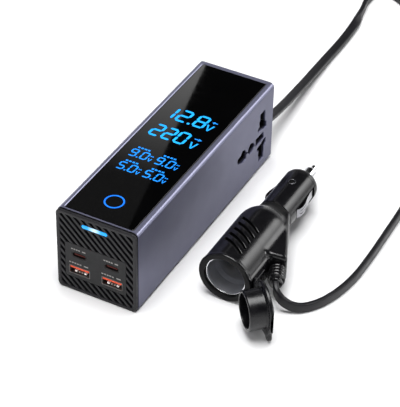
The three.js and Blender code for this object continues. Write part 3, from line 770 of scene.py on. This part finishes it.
def arrow(x, y, width, height, inward):
    """A small arrow, which shows what comes in and what goes out."""
    shaft, head = height * 0.3, width * 0.45
    middle = y + height / 2
    bar = [(x, middle - shaft / 2), (x + width - head, middle - shaft / 2),
           (x + width - head, middle + shaft / 2), (x, middle + shaft / 2)]
    tip = [(x + width - head, y), (x + width, middle), (x + width - head, y + height)]
    if inward:
        return [[(2 * x + width - u, v) for u, v in outline] for outline in (bar, tip)]
    return [bar, tip]


def dashes(x, y, width, height, count):
    step = width / count
    return [[(x + i * step, y), (x + (i + 0.7) * step, y), (x + (i + 0.7) * step, y + height),
             (x + i * step, y + height)] for i in range(count)]


def flat_marks(name, outlines, plane, low, high):
    vertices, faces = [], []
    place = PLANES[plane]
    for outline in outlines:
        outline = counterclockwise(list(outline))
        start, n = len(vertices), len(outline)
        vertices += [place(u, v, low) for u, v in outline] + [place(u, v, high) for u, v in outline]
        faces.append([start + i for i in range(n)][::-1])
        faces.append([start + n + i for i in range(n)])
        for i in range(n):
            j = (i + 1) % n
            faces.append([start + i, start + j, start + n + j, start + n + i])
    return mesh_object(name, vertices, faces)


def display():
    big = [
        *digit_strokes("1", -15.2, 20.6, 5.0, 12.0, 1.5), *digit_strokes("2", -8.7, 20.6, 7.5, 12.0, 1.5),
        dot(-0.6, 20.7, 1.5), *digit_strokes("8", 2.4, 20.6, 7.4, 12.0, 1.5),
        *v_strokes(10.3, 20.4, 4.8, 5.8, 1.05),
        *digit_strokes("2", -15.4, 1.6, 6.9, 12.0, 1.5), *digit_strokes("2", -7.6, 1.6, 6.9, 12.0, 1.5),
        *digit_strokes("0", 0.3, 1.6, 7.1, 12.0, 1.5), *v_strokes(9.9, 1.2, 4.9, 5.8, 1.05),
    ]
    small = [*arrow(11.8, 28.0, 3.4, 2.4, True), *arrow(10.4, 9.2, 4.6, 2.4, False)]
    for digit, y, label_y in (("9", -21.0, -12.5), ("5", -34.5, -26.2)):
        for x in (-15.2, 1.2):
            small += digit_strokes(digit, x, y, 4.5, 7.2, 0.9)
            small.append(dot(x + 5.1, y + 0.05, 0.95))
            small += digit_strokes("0", x + 6.9, y, 4.4, 7.2, 0.9)
            small += v_strokes(x + 11.9, y + 0.1, 2.4, 2.8, 0.6)
            small += dashes(x + 12.1, y + 4.6, 2.2, 0.8, 2)
            small += dashes(x + 1.8, label_y, 8.4, 1.2, 4)
    finish_piece(flat_marks("display_digits", big, "z", 53.8, DISPLAY_TOP), "digits")
    finish_piece(flat_marks("display_small_digits", small, "z", 53.8, DISPLAY_TOP), "small_digits")
    centre = Matrix.Translation((-0.1, -61.0, 0))
    ring = revolve("touch_ring", [
        (4.85, 53.8), (5.75, 53.8), (5.75, DISPLAY_TOP), (4.85, DISPLAY_TOP),
    ], 72, centre)
    finish_piece(ring, "ring")


display()


# Front

def in_front(w):
    """A Y position, as the height that the plates of the front use."""
    return -w


BEZEL_OUTLINE = rounded_rect(0, 27, 49.9, 53.9, 3.2, 8)
PANEL_X = -0.7
PORT_X, USB_A_Z, USB_C_Z = 10.2, 14.7, 25.7
PORT_PANEL = (-19.8, 18.4, 9.4, 33.0)
LIGHT = (-1.0, 7.9, 2.2, 47.25)


def port_holes(margin):
    holes = []
    for side in (-1, 1):
        x = PANEL_X + side * PORT_X
        holes.append(rounded_rect(x, USB_A_Z, 13.1 + margin, 5.8 + margin, 0.7, 4))
        holes.append(rounded_rect(x, USB_C_Z, 9.0 + margin, 3.4 + margin, 1.7 + margin / 2, 8))
    return holes


def front_panel():
    middle, half, height, z = LIGHT
    window = rounded_rect(middle, z, 2 * half + 0.4, height + 0.4, 1.2, 5)
    x0, x1, z0, z1 = PORT_PANEL
    recess = rounded_rect((x0 + x1) / 2, (z0 + z1) / 2, x1 - x0 + 0.3, z1 - z0 + 0.3, 1.0, 4)
    base = plate("front_panel", BEZEL_OUTLINE, "y", in_front(-78.9), in_front(-79.7), 0.1,
                 [window, *port_holes(0.5)])
    rim = plate("rim", BEZEL_OUTLINE, "y", in_front(-79.5), in_front(-81.25), 0.62,
                [rounded_rect(0, 27, 45.2, 49.2, 1.9, 6)])
    lip = plate("lip", rounded_rect(middle, z, 2 * half + 1.5, height + 1.5, 1.6, 6), "y", in_front(-79.5),
                in_front(-80.95), 0.2, [window])
    ribs = rib_bars()
    region = plate("region", rounded_rect(0, 27, 45.5, 49.5, 1.9, 6), "y", in_front(-79.5), in_front(-81.6), 0.0,
                   [recess, rounded_rect(middle, z, 2 * half + 1.3, height + 1.3, 1.5, 6)])
    carve(ribs, region, "INTERSECT")
    # The plate behind the ribs takes the darker groove look: painted shade between the ribs.
    for part, finish in ((base, "groove"), (rim, "ribbed"), (lip, "ribbed"), (ribs, "ribbed")):
        part.data.materials.clear()
        part.data.materials.append(LOOKS[finish])
    return joined("front_panel", [base, rim, lip, ribs])


def rib_bars():
    """Sloping ribs, which run down to the right."""
    pitch, top, foot, front, back = 3.3, 1.5, 1.95, 80.95, 79.6
    vertices, faces = [], []
    root2 = math.sqrt(2)
    for i in range(-12, 28):
        across = 27 / root2 + (i - 8) * pitch
        start = len(vertices)
        for end in (-60, 60):
            for offset, w in ((-foot / 2, back), (-top / 2, front), (top / 2, front), (foot / 2, back)):
                u = across + offset
                x, z = (u + end) / root2, (u - end) / root2
                vertices.append(PLANES["y"](x, z, w))
        n = start
        faces += [[n, n + 1, n + 2, n + 3], [n + 4, n + 7, n + 6, n + 5]]
        for k in range(4):
            m = (k + 1) % 4
            faces.append([n + k, n + 4 + k, n + 4 + m, n + m])
    bars = mesh_object("ribs", vertices, faces)
    weld(bars.data)
    return bars


finish_piece(front_panel(), None, replaces=["front_bezel"], angle=25)


def port_panel():
    x0, x1, z0, z1 = PORT_PANEL
    outline = rounded_rect((x0 + x1) / 2, (z0 + z1) / 2, x1 - x0, z1 - z0, 1.0, 5)
    return plate("port_panel", outline, "y", in_front(-79.8), in_front(-81.0), 0.22, port_holes(0.25))


finish_piece(port_panel(), "panel", replaces=["port_plate"])


def light_window():
    middle, half, height, z = LIGHT
    return plate("light_window", rounded_rect(middle, z, 2 * half, height, 1.05, 6), "y", in_front(-77.6),
                 in_front(-80.95), 0.3)


finish_piece(light_window(), "light", replaces=["light_bar"])


def ports():
    for side, word in ((-1, "left"), (1, "right")):
        x = PANEL_X + side * PORT_X
        shell = plate(f"usb_a_mouth_{word}", rounded_rect(x, USB_A_Z, 13.1, 5.8, 0.6, 4), "y",
                      in_front(-70.2), in_front(-80.95), 0.12, [rounded_rect(x, USB_A_Z, 12.3, 5.0, 0.35, 4)])
        finish_piece(shell, "dull_steel", replaces=[f"usb_a_shell_{word}"])
        tongue = box(f"usb_a_insert_{word}", x - 5.9, x + 5.9, -80.85, -70.3, USB_A_Z + 1.15, USB_A_Z + 2.4, 0.15)
        finish_piece(tongue, "orange", replaces=[f"usb_a_tongue_{word}"])
        back = box(f"usb_a_back_{word}", x - 5.9, x + 5.9, -75.5, -74.9, USB_A_Z - 2.3, USB_A_Z + 0.4, 0.1)
        finish_piece(back, "dark_plastic")
        # The outer pads take the pale copy, which is painted light. The inner pads take the dim copy, which is
        # painted shade.
        for group, centres, width, material in (
            ("outer", (-2.6, 3.3), 1.5, "contact_painted_lit"), ("inner", (-0.4, 1.3), 1.0, "contact_painted_shade"),
        ):
            pads = [box("pad", x + c - width / 2, x + c + width / 2, -80.4, -75.6,
                        USB_A_Z - 1.5, USB_A_Z - 0.35, 0.25) for c in centres]
            finish_piece(joined(f"usb_a_{group}_contacts_{word}", pads), material)
        shell = plate(f"usb_c_mouth_{word}", rounded_rect(x, USB_C_Z, 9.0, 3.4, 1.69, 10), "y",
                      in_front(-70.6), in_front(-80.95), 0.12, [rounded_rect(x, USB_C_Z, 8.3, 2.7, 1.34, 10)])
        finish_piece(shell, "dark_shell", replaces=[f"usb_c_shell_{word}"])
        tongue = plate(f"usb_c_insert_{word}", rounded_rect(x, USB_C_Z, 6.7, 0.8, 0.35, 4), "y",
                       in_front(-70.8), in_front(-80.3), 0.12)
        finish_piece(tongue, "dark_red", replaces=[f"usb_c_tongue_{word}"])
        well = plate(f"usb_c_back_{word}", rounded_rect(x, USB_C_Z, 8.1, 2.5, 1.24, 8), "y",
                     in_front(-77.5), in_front(-78.4), 0.1)
        finish_piece(well, "dark_red")
        marks = [*dashes(x - 4.9, 29.1, 6.0, 0.75, 4), *dashes(x + 2.0, 29.1, 3.0, 0.75, 1),
                 *dashes(x - 6.4, 19.35, 8.2, 0.75, 5), *dashes(x + 2.9, 19.35, 3.8, 0.75, 1)]
        finish_piece(flat_marks(f"port_marks_{word}", marks, "y", 80.9, 81.02), "marking")


ports()


# Back

FAN_X, FAN_Z = -9.5, 27.0
GLAND_X, GLAND_Z = 16.0, 17.5
SCREWS = [(side * 20.4, z) for side in (-1, 1) for z in (4.7, 47.6)]
REAR_OUTLINE = rounded_rect(0, 26.1, 46.5, 48.7, 1.2, 8)


def circle(cx, cy, radius, count=24):
    return [(cx + radius * math.cos(2 * math.pi * k / count), cy + radius * math.sin(2 * math.pi * k / count))
            for k in range(count)]


def rear_panel():
    holes = [circle(x, z, 2.7) for x, z in SCREWS]
    for row in range(-3, 4):
        half = math.sqrt(11.5 ** 2 - (row * 3.3) ** 2)
        holes.append(rounded_rect(FAN_X, FAN_Z + row * 3.3, 2 * half, 1.9, 0.94, 6))
    holes.append(circle(GLAND_X, GLAND_Z, 3.4, 32))
    cover = plate("rear_panel", REAR_OUTLINE, "y", in_front(81.0), in_front(79.5), 0.3, holes)
    seats = [plate("seat", circle(x, z, 3.0), "y", in_front(80.0), in_front(79.5), 0.0, [circle(x, z, 1.4, 20)])
             for x, z in SCREWS]
    return joined("rear_panel", [cover, *seats])


finish_piece(rear_panel(), "ribbed", replaces=["rear_cover"])


def screws():
    for number, (x, z) in enumerate(SCREWS, 1):
        head = turned(f"panel_screw_{number}", [
            (0, 69.5), (0.95, 69.5), (0.95, 80.15), (2.3, 80.15), (2.3, 80.6, 0.3), (1.6, 80.9), (0, 80.95),
        ], 32, along_y(x, z), 0.12, 3, False)
        for a, b in ((1.25, 0.28), (0.28, 1.25)):
            carve(head, box("arm", x - a, x + a, 80.45, 82, z - b, z + b))
        finish_piece(head, "steel", replaces=[f"cover_screw_{number}"])


screws()


def gland_profile():
    points = [(0, 77.5), (4.6, 77.5), (4.6, 79.2), (3.1, 79.2), (3.1, 81.3), (5.4, 81.3, 0.4), (5.4, 82.6, 0.5)]
    for rib in range(3):
        start = 83.2 + rib * 1.9
        points += [(4.3 - 0.15 * rib, start, 0.3), (4.3 - 0.15 * rib, start + 1.0, 0.3),
                   (3.4, start + 1.2, 0.2), (3.4, start + 1.8, 0.2)]
    return points + [(3.5, 89.2, 0.3), (0, 89.25)]


finish_piece(turned("rear_gland", gland_profile(), 48, along_y(GLAND_X, GLAND_Z), 0.2, 3, False),
             "rubber", replaces=["cable_gland"])


# Plug

STATIONS = [0, 0.01, 1.6, 2.2, 44.5, 47.0, 49.0, 51.0, 53.0, 55.0, 57.0, 59.0, 61.0, 64.0]
RADII = [15.95, 15.98, 15.98, 15.6, 15.6, 15.4, 14.95, 14.2, 13.15, 12.05, 11.2, 10.75, 10.56, 10.5]
ARM_YAW = math.radians(22.5)
ARM_END = (81.4, -24.2)
BODY_RADIUS = 15.6
VENT_COUNT, VENT_PITCH = 5, 5.1


def smooth_radius(s):
    fine = np.linspace(-4, 66, 1401)
    raw = np.interp(fine, STATIONS, RADII)
    kernel = np.exp(-0.5 * (np.arange(-40, 41) * 0.05 / 0.7) ** 2)
    kernel /= kernel.sum()
    smoothed = np.convolve(np.pad(raw, 40, mode="edge"), kernel, mode="valid")
    return np.interp(s, fine, smoothed)


def slab(value, low, high):
    return np.maximum(low - value, value - high)


def half_planes(x, y, corners, k):
    """Inside a convex counterclockwise outline, with rounded corners."""
    result = None
    for (ax, ay), (bx, by) in zip(corners, corners[1:] + corners[:1]):
        length = math.hypot(bx - ax, by - ay)
        d = ((x - ax) * (by - ay) - (y - ay) * (bx - ax)) / length
        result = d if result is None else smoother_max(result, d, k)
    return result


def housing_field(x, y, z):
    s, dx, dz = y - MOUTH_Y, x - PLUG_X, z - PLUG_Z
    r = np.hypot(dx, dz)
    body = (r - smooth_radius(s)) * 0.95
    body = smoother_max(body, -s, 1.1)
    body = smoother_max(body, s - 61.4, 0.8)
    (ex, ey), cross, along = ARM_END, 5.2 * math.cos(ARM_YAW), 5.2 * math.sin(ARM_YAW)
    arm = half_planes(x, y, [
        (70.4, 13.0), (62, 4), (66, -24), (ex - cross, ey - along), (ex + cross, ey + along),
    ], 1.6)
    crown = 24.4 - 0.27 * np.maximum(x - 74, 0)
    arm = smoother_max(arm, smoother_max(z - crown, 4.6 - z, 0.5), 2.4)
    shelf = smoother_max(half_planes(x, y, [(64, -20), (64, -47.3), (76.8, -47.3), (76.8, -20)], 0.8),
                         smoother_max(z - 20.5, 6.4 - z, 0.5), 1.0)
    side = smoother_min(arm, shelf, 0.8)
    f = smoother_min(body, side, 2.0)
    bore = smoother_max(r - 12.35, s - 44.4, 0.4)
    f = smoother_max(f, -bore, 0.7)
    unrolled = np.arctan2(dz, dx) * BODY_RADIUS
    for i in range(VENT_COUNT):
        s0, s1 = 16.4 + i * VENT_PITCH, 7.6 + i * VENT_PITCH
        u0, u1 = math.radians(121) * BODY_RADIUS, math.radians(70) * BODY_RADIUS
        ps, pu = s - s0, unrolled - u0
        ds, du = s1 - s0, u1 - u0
        t = np.clip((ps * ds + pu * du) / (ds * ds + du * du), 0, 1)
        groove = np.hypot(ps - t * ds, pu - t * du) - 0.85
        groove = smoother_max(groove, 13.9 - r, 0.4)
        f = smoother_max(f, -groove, 0.35)
    return f


DETAIL = 0.34
LED_PLACE = Matrix.Translation((PLUG_X, MOUTH_Y + 83.2, 0))

plug_body = surface("plug_body", housing_field, (44, -49, -0.4), (88, 15, 33), DETAIL)
finish_piece(plug_body, "gloss", replaces=["plug_housing"], angle=60, flat=False)
plug_body.data.materials.append(LOOKS["rim"])
plug_body.data.materials.append(LOOKS["groove"])
RIM_SLOT, SHADED_GROOVE_SLOT = 1, 2
# Faces at the mouth take the matt rim look. Faces in the vent grooves take the darker groove look, which is
# painted shade.
for face in plug_body.data.polygons:
    dx, dz, s = face.center.x / MM - PLUG_X, face.center.z / MM - PLUG_Z, face.center.y / MM - MOUTH_Y
    across = math.hypot(dx, dz)
    if s < 0.25 and across < 15.4 or across < 12.6:
        face.material_index = RIM_SLOT
    elif across < 15.5 and 5 < s < 42 and dz > 4 and abs(dx) < 13:
        face.material_index = SHADED_GROOVE_SLOT

finish_piece(turned("socket_liner", [
    (11.6, 2.4), (12.3, 2.4), (12.3, 42), (10.9, 42), (10.9, 14), (11.6, 11),
], 96, ALONG_PLUG), "liner", replaces=["socket_sleeve"])
finish_piece(turned("liner_lip", [
    (11.55, 1.7, 0.25), (12.25, 1.7, 0.25), (12.25, 2.3), (11.55, 2.3),
], 128, ALONG_PLUG, 0.1, 5), "liner_lip")
finish_piece(turned("socket_floor", [(0, 42.4), (12.2, 42.4), (12.2, 44), (0, 44)], 64, ALONG_PLUG, 0.2, 3, False),
             "dark_plastic", replaces=["socket_base"])
finish_piece(turned("centre_button", [
    (0, 39.4), (3.0, 39.6, 0.6), (4, 40.6, 0.5), (4, 42.1), (0, 42.1),
], 48, ALONG_PLUG, 0.2, 4, False), "brass", replaces=["centre_contact"])


def barrel():
    shape = turned("barrel", [
        (5, 61.6), (10.3, 61.6, 0.1), (10.48, 61.8, 0.1), (10.5, 93.6, 0.12), (5, 93.6, 0.1),
    ], 96, ALONG_PLUG, 0.15, 5)
    for side in (-1, 1):
        x = PLUG_X + side * 10.7
        outline = [(x - 3.3, 20.1), (x + 3.3, 20.1), (x + 3.3, 44.2), (x - 3.3, 44.2)]
        carve(shape, loft("cutter", [(outline, PLUG_Z - 4), (outline, PLUG_Z + 4)], "z"))
    carve(shape, revolve("cutter", [(0, 24.2), (2.25, 24.2), (2.25, 30), (0, 30)], 32, LED_PLACE))
    return shape


finish_piece(barrel(), "gloss", replaces=["plug_barrel"])


finish_piece(turned("barrel_nose", [
    (5.7, 93.8, 0.1), (10.5, 93.8, 0.12), (10.5, 95.2, 0.5), (10.1, 96.8, 0.9), (9.1, 98.0, 0.9),
    (7.3, 98.6, 0.4), (5.7, 98.7, 0.2),
], 96, ALONG_PLUG), "gloss", replaces=["nose_cap"])
finish_piece(turned("nose_ring", [
    (4.15, 97.3), (5.5, 97.3), (5.5, 99.7, 0.3), (4.9, 100.3, 0.2), (4.9, 101.8, 0.3), (4.15, 102.1),
], 64, ALONG_PLUG), "chrome")
finish_piece(turned("tip_pin", [
    (0, 94.5), (3.45, 94.5), (3.45, 85.5), (4.45, 85.5), (4.45, 96.9), (3.95, 96.9), (3.95, 108.6, 0.4),
    (3.2, 109.9, 0.4), (1.9, 110.4, 0.3), (1.9, 114.2, 0.8), (1.0, 115.3, 0.6), (0, 115.4),
], 64, ALONG_PLUG, 0.15, 4, False), "chrome", body="tip", replaces=["tip_contact"])


COIL_RADIUS, COIL_TURNS = 2.6, 5


def coil():
    """The spring behind the tip. The real spring shortens as the tip goes in; this coil keeps its length."""
    turn = np.linspace(0, 1, 181)
    angle = turn * COIL_TURNS * 2 * math.pi
    line = np.stack([PLUG_X + COIL_RADIUS * np.cos(angle), MOUTH_Y + 84.95 + 8.3 * turn,
                     PLUG_Z + COIL_RADIUS * np.sin(angle)], 1)
    wire = [(0.35 * math.cos(a), 0.35 * math.sin(a)) for a in np.linspace(0, 2 * math.pi, 13)[:-1]]
    return sweep("tip_coil", line, lambda f: wire, lambda f: 90)


tip_coil = finish_piece(coil(), "steel", replaces=["tip_spring"], angle=50, flat=False)
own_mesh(tip_coil)


def leaf(side):
    """A sprung side contact: (station along the plug, distance from its axis) along the strip."""
    middle = [(91.5, 9.3), (87.1, 9.5), (82.5, 10.25), (78.0, 11.35), (74.2, 11.55), (71.6, 10.85), (70.0, 9.9)]
    thick = 0.6
    line = np.array(fillet(middle, 2.5, 6, False))
    tangent = np.gradient(line, axis=0)
    tangent /= np.linalg.norm(tangent, axis=1, keepdims=True)
    normal = np.stack([tangent[:, 1], -tangent[:, 0]], 1) * thick / 2
    outline = [*(line + normal), *(line - normal)[::-1]]
    placed = counterclockwise([(PLUG_X + side * d, MOUTH_Y + s) for s, d in outline])
    word = "left" if side < 0 else "right"
    strip = loft(f"leaf_{word}", [(placed, PLUG_Z - 3.0), (placed, PLUG_Z + 3.0)], "z")
    for z in (-1.2, 1.0):
        groove = counterclockwise([(PLUG_X + side * d, MOUTH_Y + s)
                                   for d, s in ((11.1, 72), (14, 72), (14, 88), (11.1, 88))])
        carve(strip, loft("cutter", [(groove, PLUG_Z + z), (groove, PLUG_Z + z + 0.45)], "z"))
    soften(strip, 0.08, 50)
    return finish_piece(strip, "leaf", body=f"{word}_leaf", replaces=[f"side_contact_{word}"])


leaf(-1)
leaf(1)
finish_piece(turned("indicator_lens", [(0, 24.4), (1.55, 24.4), (1.55, 25.9, 0.3), (0, 26.2)],
                    32, LED_PLACE, 0.2, 5, False), "rim", replaces=["led_lens"])
finish_piece(turned("indicator_ring", [(1.75, 24.8), (2.15, 24.8), (2.15, 26.7, 0.12), (1.75, 26.7, 0.12)],
                    48, LED_PLACE, 0.05), "leaf", replaces=["led_bezel"])


# Boot on the arm

def arm_boot():
    direction = np.array([math.sin(ARM_YAW), -math.cos(ARM_YAW), 0.0])
    start = np.array([*ARM_END, 12.55])
    lengths = np.linspace(0.25, 12.0, 150)
    points = start + lengths[:, None] * direction
    def radius(length):
        base = 4.3 if length < 9.6 else 3.9
        for rib in range(4):
            centre, size = 1.5 + rib * 2.25, 1.25 - 0.12 * rib
            bulge = max(0.0, 1 - ((length - centre) / 0.85) ** 2)
            base = max(base, 4.3 + size * math.sqrt(bulge)) if bulge > 0 else base
        if length > 11.6:
            base -= 0.3 * ((length - 11.6) / 0.4) ** 2
        return base
    def section(fraction):
        r = radius(lengths[0] + fraction * (lengths[-1] - lengths[0]))
        return [(r * math.cos(a), r * 0.94 * math.sin(a)) for a in np.linspace(0, 2 * math.pi, 49)[:-1]]
    return sweep("arm_boot", points, section, lambda f: 90)


finish_piece(arm_boot(), "boot", replaces=["cable_boot"], angle=50, flat=False)


# Cap and strap

CAP_HINGE = (77.8, -48.2)
CAP_OPEN = math.radians(134)


def cap_field(x, y, z):
    """The cap, in the place where it closes the mouth."""
    c, s = math.cos(-CAP_OPEN), math.sin(-CAP_OPEN)
    hx, hy = x - CAP_HINGE[0], y - CAP_HINGE[1]
    px = CAP_HINGE[0] + c * hx - s * hy - PLUG_X
    py = CAP_HINGE[1] + s * hx + c * hy - MOUTH_Y
    pz = z - PLUG_Z
    r = np.hypot(px, pz)
    flange = smoother_max(r - 15.0, slab(py, -2.8, -0.3), 1.1)
    rib = np.hypot(r - 14.2, py + 0.85) - 0.55
    flange = smoother_min(flange, rib, 0.3)
    taper = 11.35 - 0.2 * np.clip(py / 9.8, 0, 1)
    spigot = smoother_max(r - taper, slab(py, -1.5, 9.8), 1.2)
    f = smoother_min(flange, spigot, 0.7)
    hollow = smoother_max(r - 9.6, -(py - 0.6), 0.6)
    f = smoother_max(f, -hollow, 0.5)
    tab_angle = math.radians(235)
    tx, tz = 14.6 * math.cos(tab_angle), 14.6 * math.sin(tab_angle)
    tab = smoother_max(np.hypot(px - tx, pz - tz) - 3.8, slab(py, -2.6, -0.5), 0.8)
    return smoother_min(f, tab, 0.8)


mouth_cap = surface("mouth_cap", cap_field, (68, -76, 0.0), (100, -46, 32), DETAIL)
finish_piece(mouth_cap, "rubber", body="cap", replaces=["socket_cap"], angle=60, flat=False)


def strap():
    """The thin web between the anchor and the cap's edge."""
    line = np.array(curve_points([(78.15, -42.5, 15.75), (78.25, -44.6, 15.75), (78.7, -46.6, 15.75),
                                  (79.6, -48.1, 15.75), (80.6, -49.0, 15.75)], 40)[0])
    section = rounded_rect(0, 0, 8.0, 1.1, 0.5, 4)
    return sweep("cap_strap", line, lambda f: section, lambda f: 90)


cap_strap = strap()
cap_strap.data.materials.append(LOOKS["rubber"])
cap_strap.data.shade_smooth()
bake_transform(cap_strap)
anchor = box("strap_anchor", 76.9, 79.0, -44.4, -35.0, 11.5, 20.0, 0.5)
finish_piece(anchor, "rubber", replaces=["cap_anchor"])


# Carried-over nodes

CARRIED = {
    "dark_plastic": ["display_module", "ac_socket_insert", "fan_frame", "fan_rotor",
                     *(f"transistor_{number}" for number in range(1, 5))],
    "board": ["display_board", "usb_board", "main_board"],
    "brass": ["touch_sensor", "live_contact", "neutral_contact", "earth_contact"],
    "ferrite": ["transformer_core"],
    "tape": ["transformer_winding"],
    "can": ["capacitor_left", "capacitor_right"],
    "aluminium": ["heat_sink"],
    "chrome": ["fuse"],
}
for finish, names in CARRIED.items():
    for name in names:
        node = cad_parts[name]
        node.data.materials.clear()
        node.data.materials.append(LOOKS[finish])


# Floor and light

def floor():
    outline = rounded_rect(0, 0, 9000, 9000, 10, 2)
    ground = flat_marks("floor", [outline], "z", -2, -0.02)
    n = Nodes("pale_floor")
    n.set(Roughness=0.75)
    shades = n.mix(n.spread(n.noise(3, 2.0), 0, 1), (0.80, 0.80, 0.81), (0.82, 0.82, 0.825))
    n.link(shades, n.shader.inputs["Base Color"])
    ground.data.materials.append(n.material)


def area_light(name, position, aim, size, power, glossy=True):
    data = bpy.data.lights.new(name, "AREA")
    data.shape = "RECTANGLE"
    data.size, data.size_y = size
    data.energy = power
    light = bpy.data.objects.new(name, data)
    scene.collection.objects.link(light)
    light.location = position
    light.rotation_mode = "QUATERNION"
    light.rotation_quaternion = (Vector(aim) - Vector(position)).to_track_quat("-Z", "Y")
    light.visible_glossy = glossy
    light.visible_camera = False
    return light


def mirrored_on_glass(x, y, height):
    """Where the view of a point on the glass goes on to, at a height above it."""
    p = Vector((x, y, 53.9))
    ray = p - EYE
    ray.z = -ray.z
    return p + ray * (height / ray.z)


def glow_card(name, corners, axis, faint, strong, source):
    """A four-cornered panel that only reflections show, and that brightens along an axis."""
    card = mesh_object(name, corners, [[0, 1, 2, 3]])
    n = Nodes(name + "_glow")
    n.set(Roughness=1.0, Base_Color=(0, 0, 0, 1), Emission_Color=(1, 1, 1, 1))
    n.link(n.spread(n.place_on(axis), faint, strong, source), n.shader.inputs["Emission Strength"])
    card.data.materials.append(n.material)
    card.visible_camera = card.visible_diffuse = card.visible_shadow = False


def reflection_card():
    """A dim panel overhead, whose edge crosses the glass in reflection."""
    height = 620
    a, b = Vector((-21.4, 79.0)), Vector((18.5, -72.8))
    ends = [a + (a - b) * 0.06, b + (b - a) * 0.12]
    outline = [(ends[0].x, ends[0].y), (ends[1].x, ends[1].y), (-40, -92), (-40, 92)]
    corners = [mirrored_on_glass(x, y, height) for x, y in outline]
    low, high = corners[2].y * MM, corners[3].y * MM
    glow_card("reflection_card", corners, "Y", 0.10, 1.9, (low + 0.3 * (high - low), high))


def side_card():
    """A tall panel to the right of the plug, brightest along its upper edge."""
    centre, across, low, high = Vector((760, 905, 0)), Vector((0.766, -0.643, 0)), 20, 860
    corners = [centre + across * u + Vector((0, 0, z))
               for u, z in ((-230, low), (260, low), (260, high), (-230, high))]
    glow_card("side_card", corners, "Z", 0.8, 5.2, (0.14, 0.60))


def sky():
    """Bright at the horizon, dark higher up, so that the glass stays black."""
    world = bpy.data.worlds.new("studio")
    scene.world = world
    world.use_nodes = True
    tree = world.node_tree
    background = tree.nodes["Background"]
    where = tree.nodes.new("ShaderNodeTexCoord")
    apart = tree.nodes.new("ShaderNodeSeparateXYZ")
    tree.links.new(where.outputs["Generated"], apart.inputs["Vector"])
    ramp = tree.nodes.new("ShaderNodeValToRGB")
    stops = [(0.0, 0.85), (0.16, 0.8), (0.34, 0.22), (0.46, 0.012), (0.80, 0.012), (1.0, 0.3)]
    while len(ramp.color_ramp.elements) < len(stops):
        ramp.color_ramp.elements.new(0.5)
    for element, (at, value) in zip(ramp.color_ramp.elements, stops):
        element.position = at
        element.color = (value, value, value * 1.01, 1)
    tree.links.new(apart.outputs["Z"], ramp.inputs["Fac"])
    tree.links.new(ramp.outputs["Color"], background.inputs["Color"])
    background.inputs["Strength"].default_value = 1.0


floor()
sky()
reflection_card()
area_light("overhead", (0.05, -0.05, 1.3), (0.05, 0.0, 0), (0.95, 0.95), 26)
side_card()
area_light("side_strip", (0.80, 0.10, 0.22), (0.08, -0.03, 0.015), (0.20, 0.16), 1.5)
area_light("fill", (-0.2, -1.5, 1.4), (0.03, 0.0, 0.02), (1.6, 0.8), 10, glossy=False)

scene.view_settings.view_transform = "Standard"
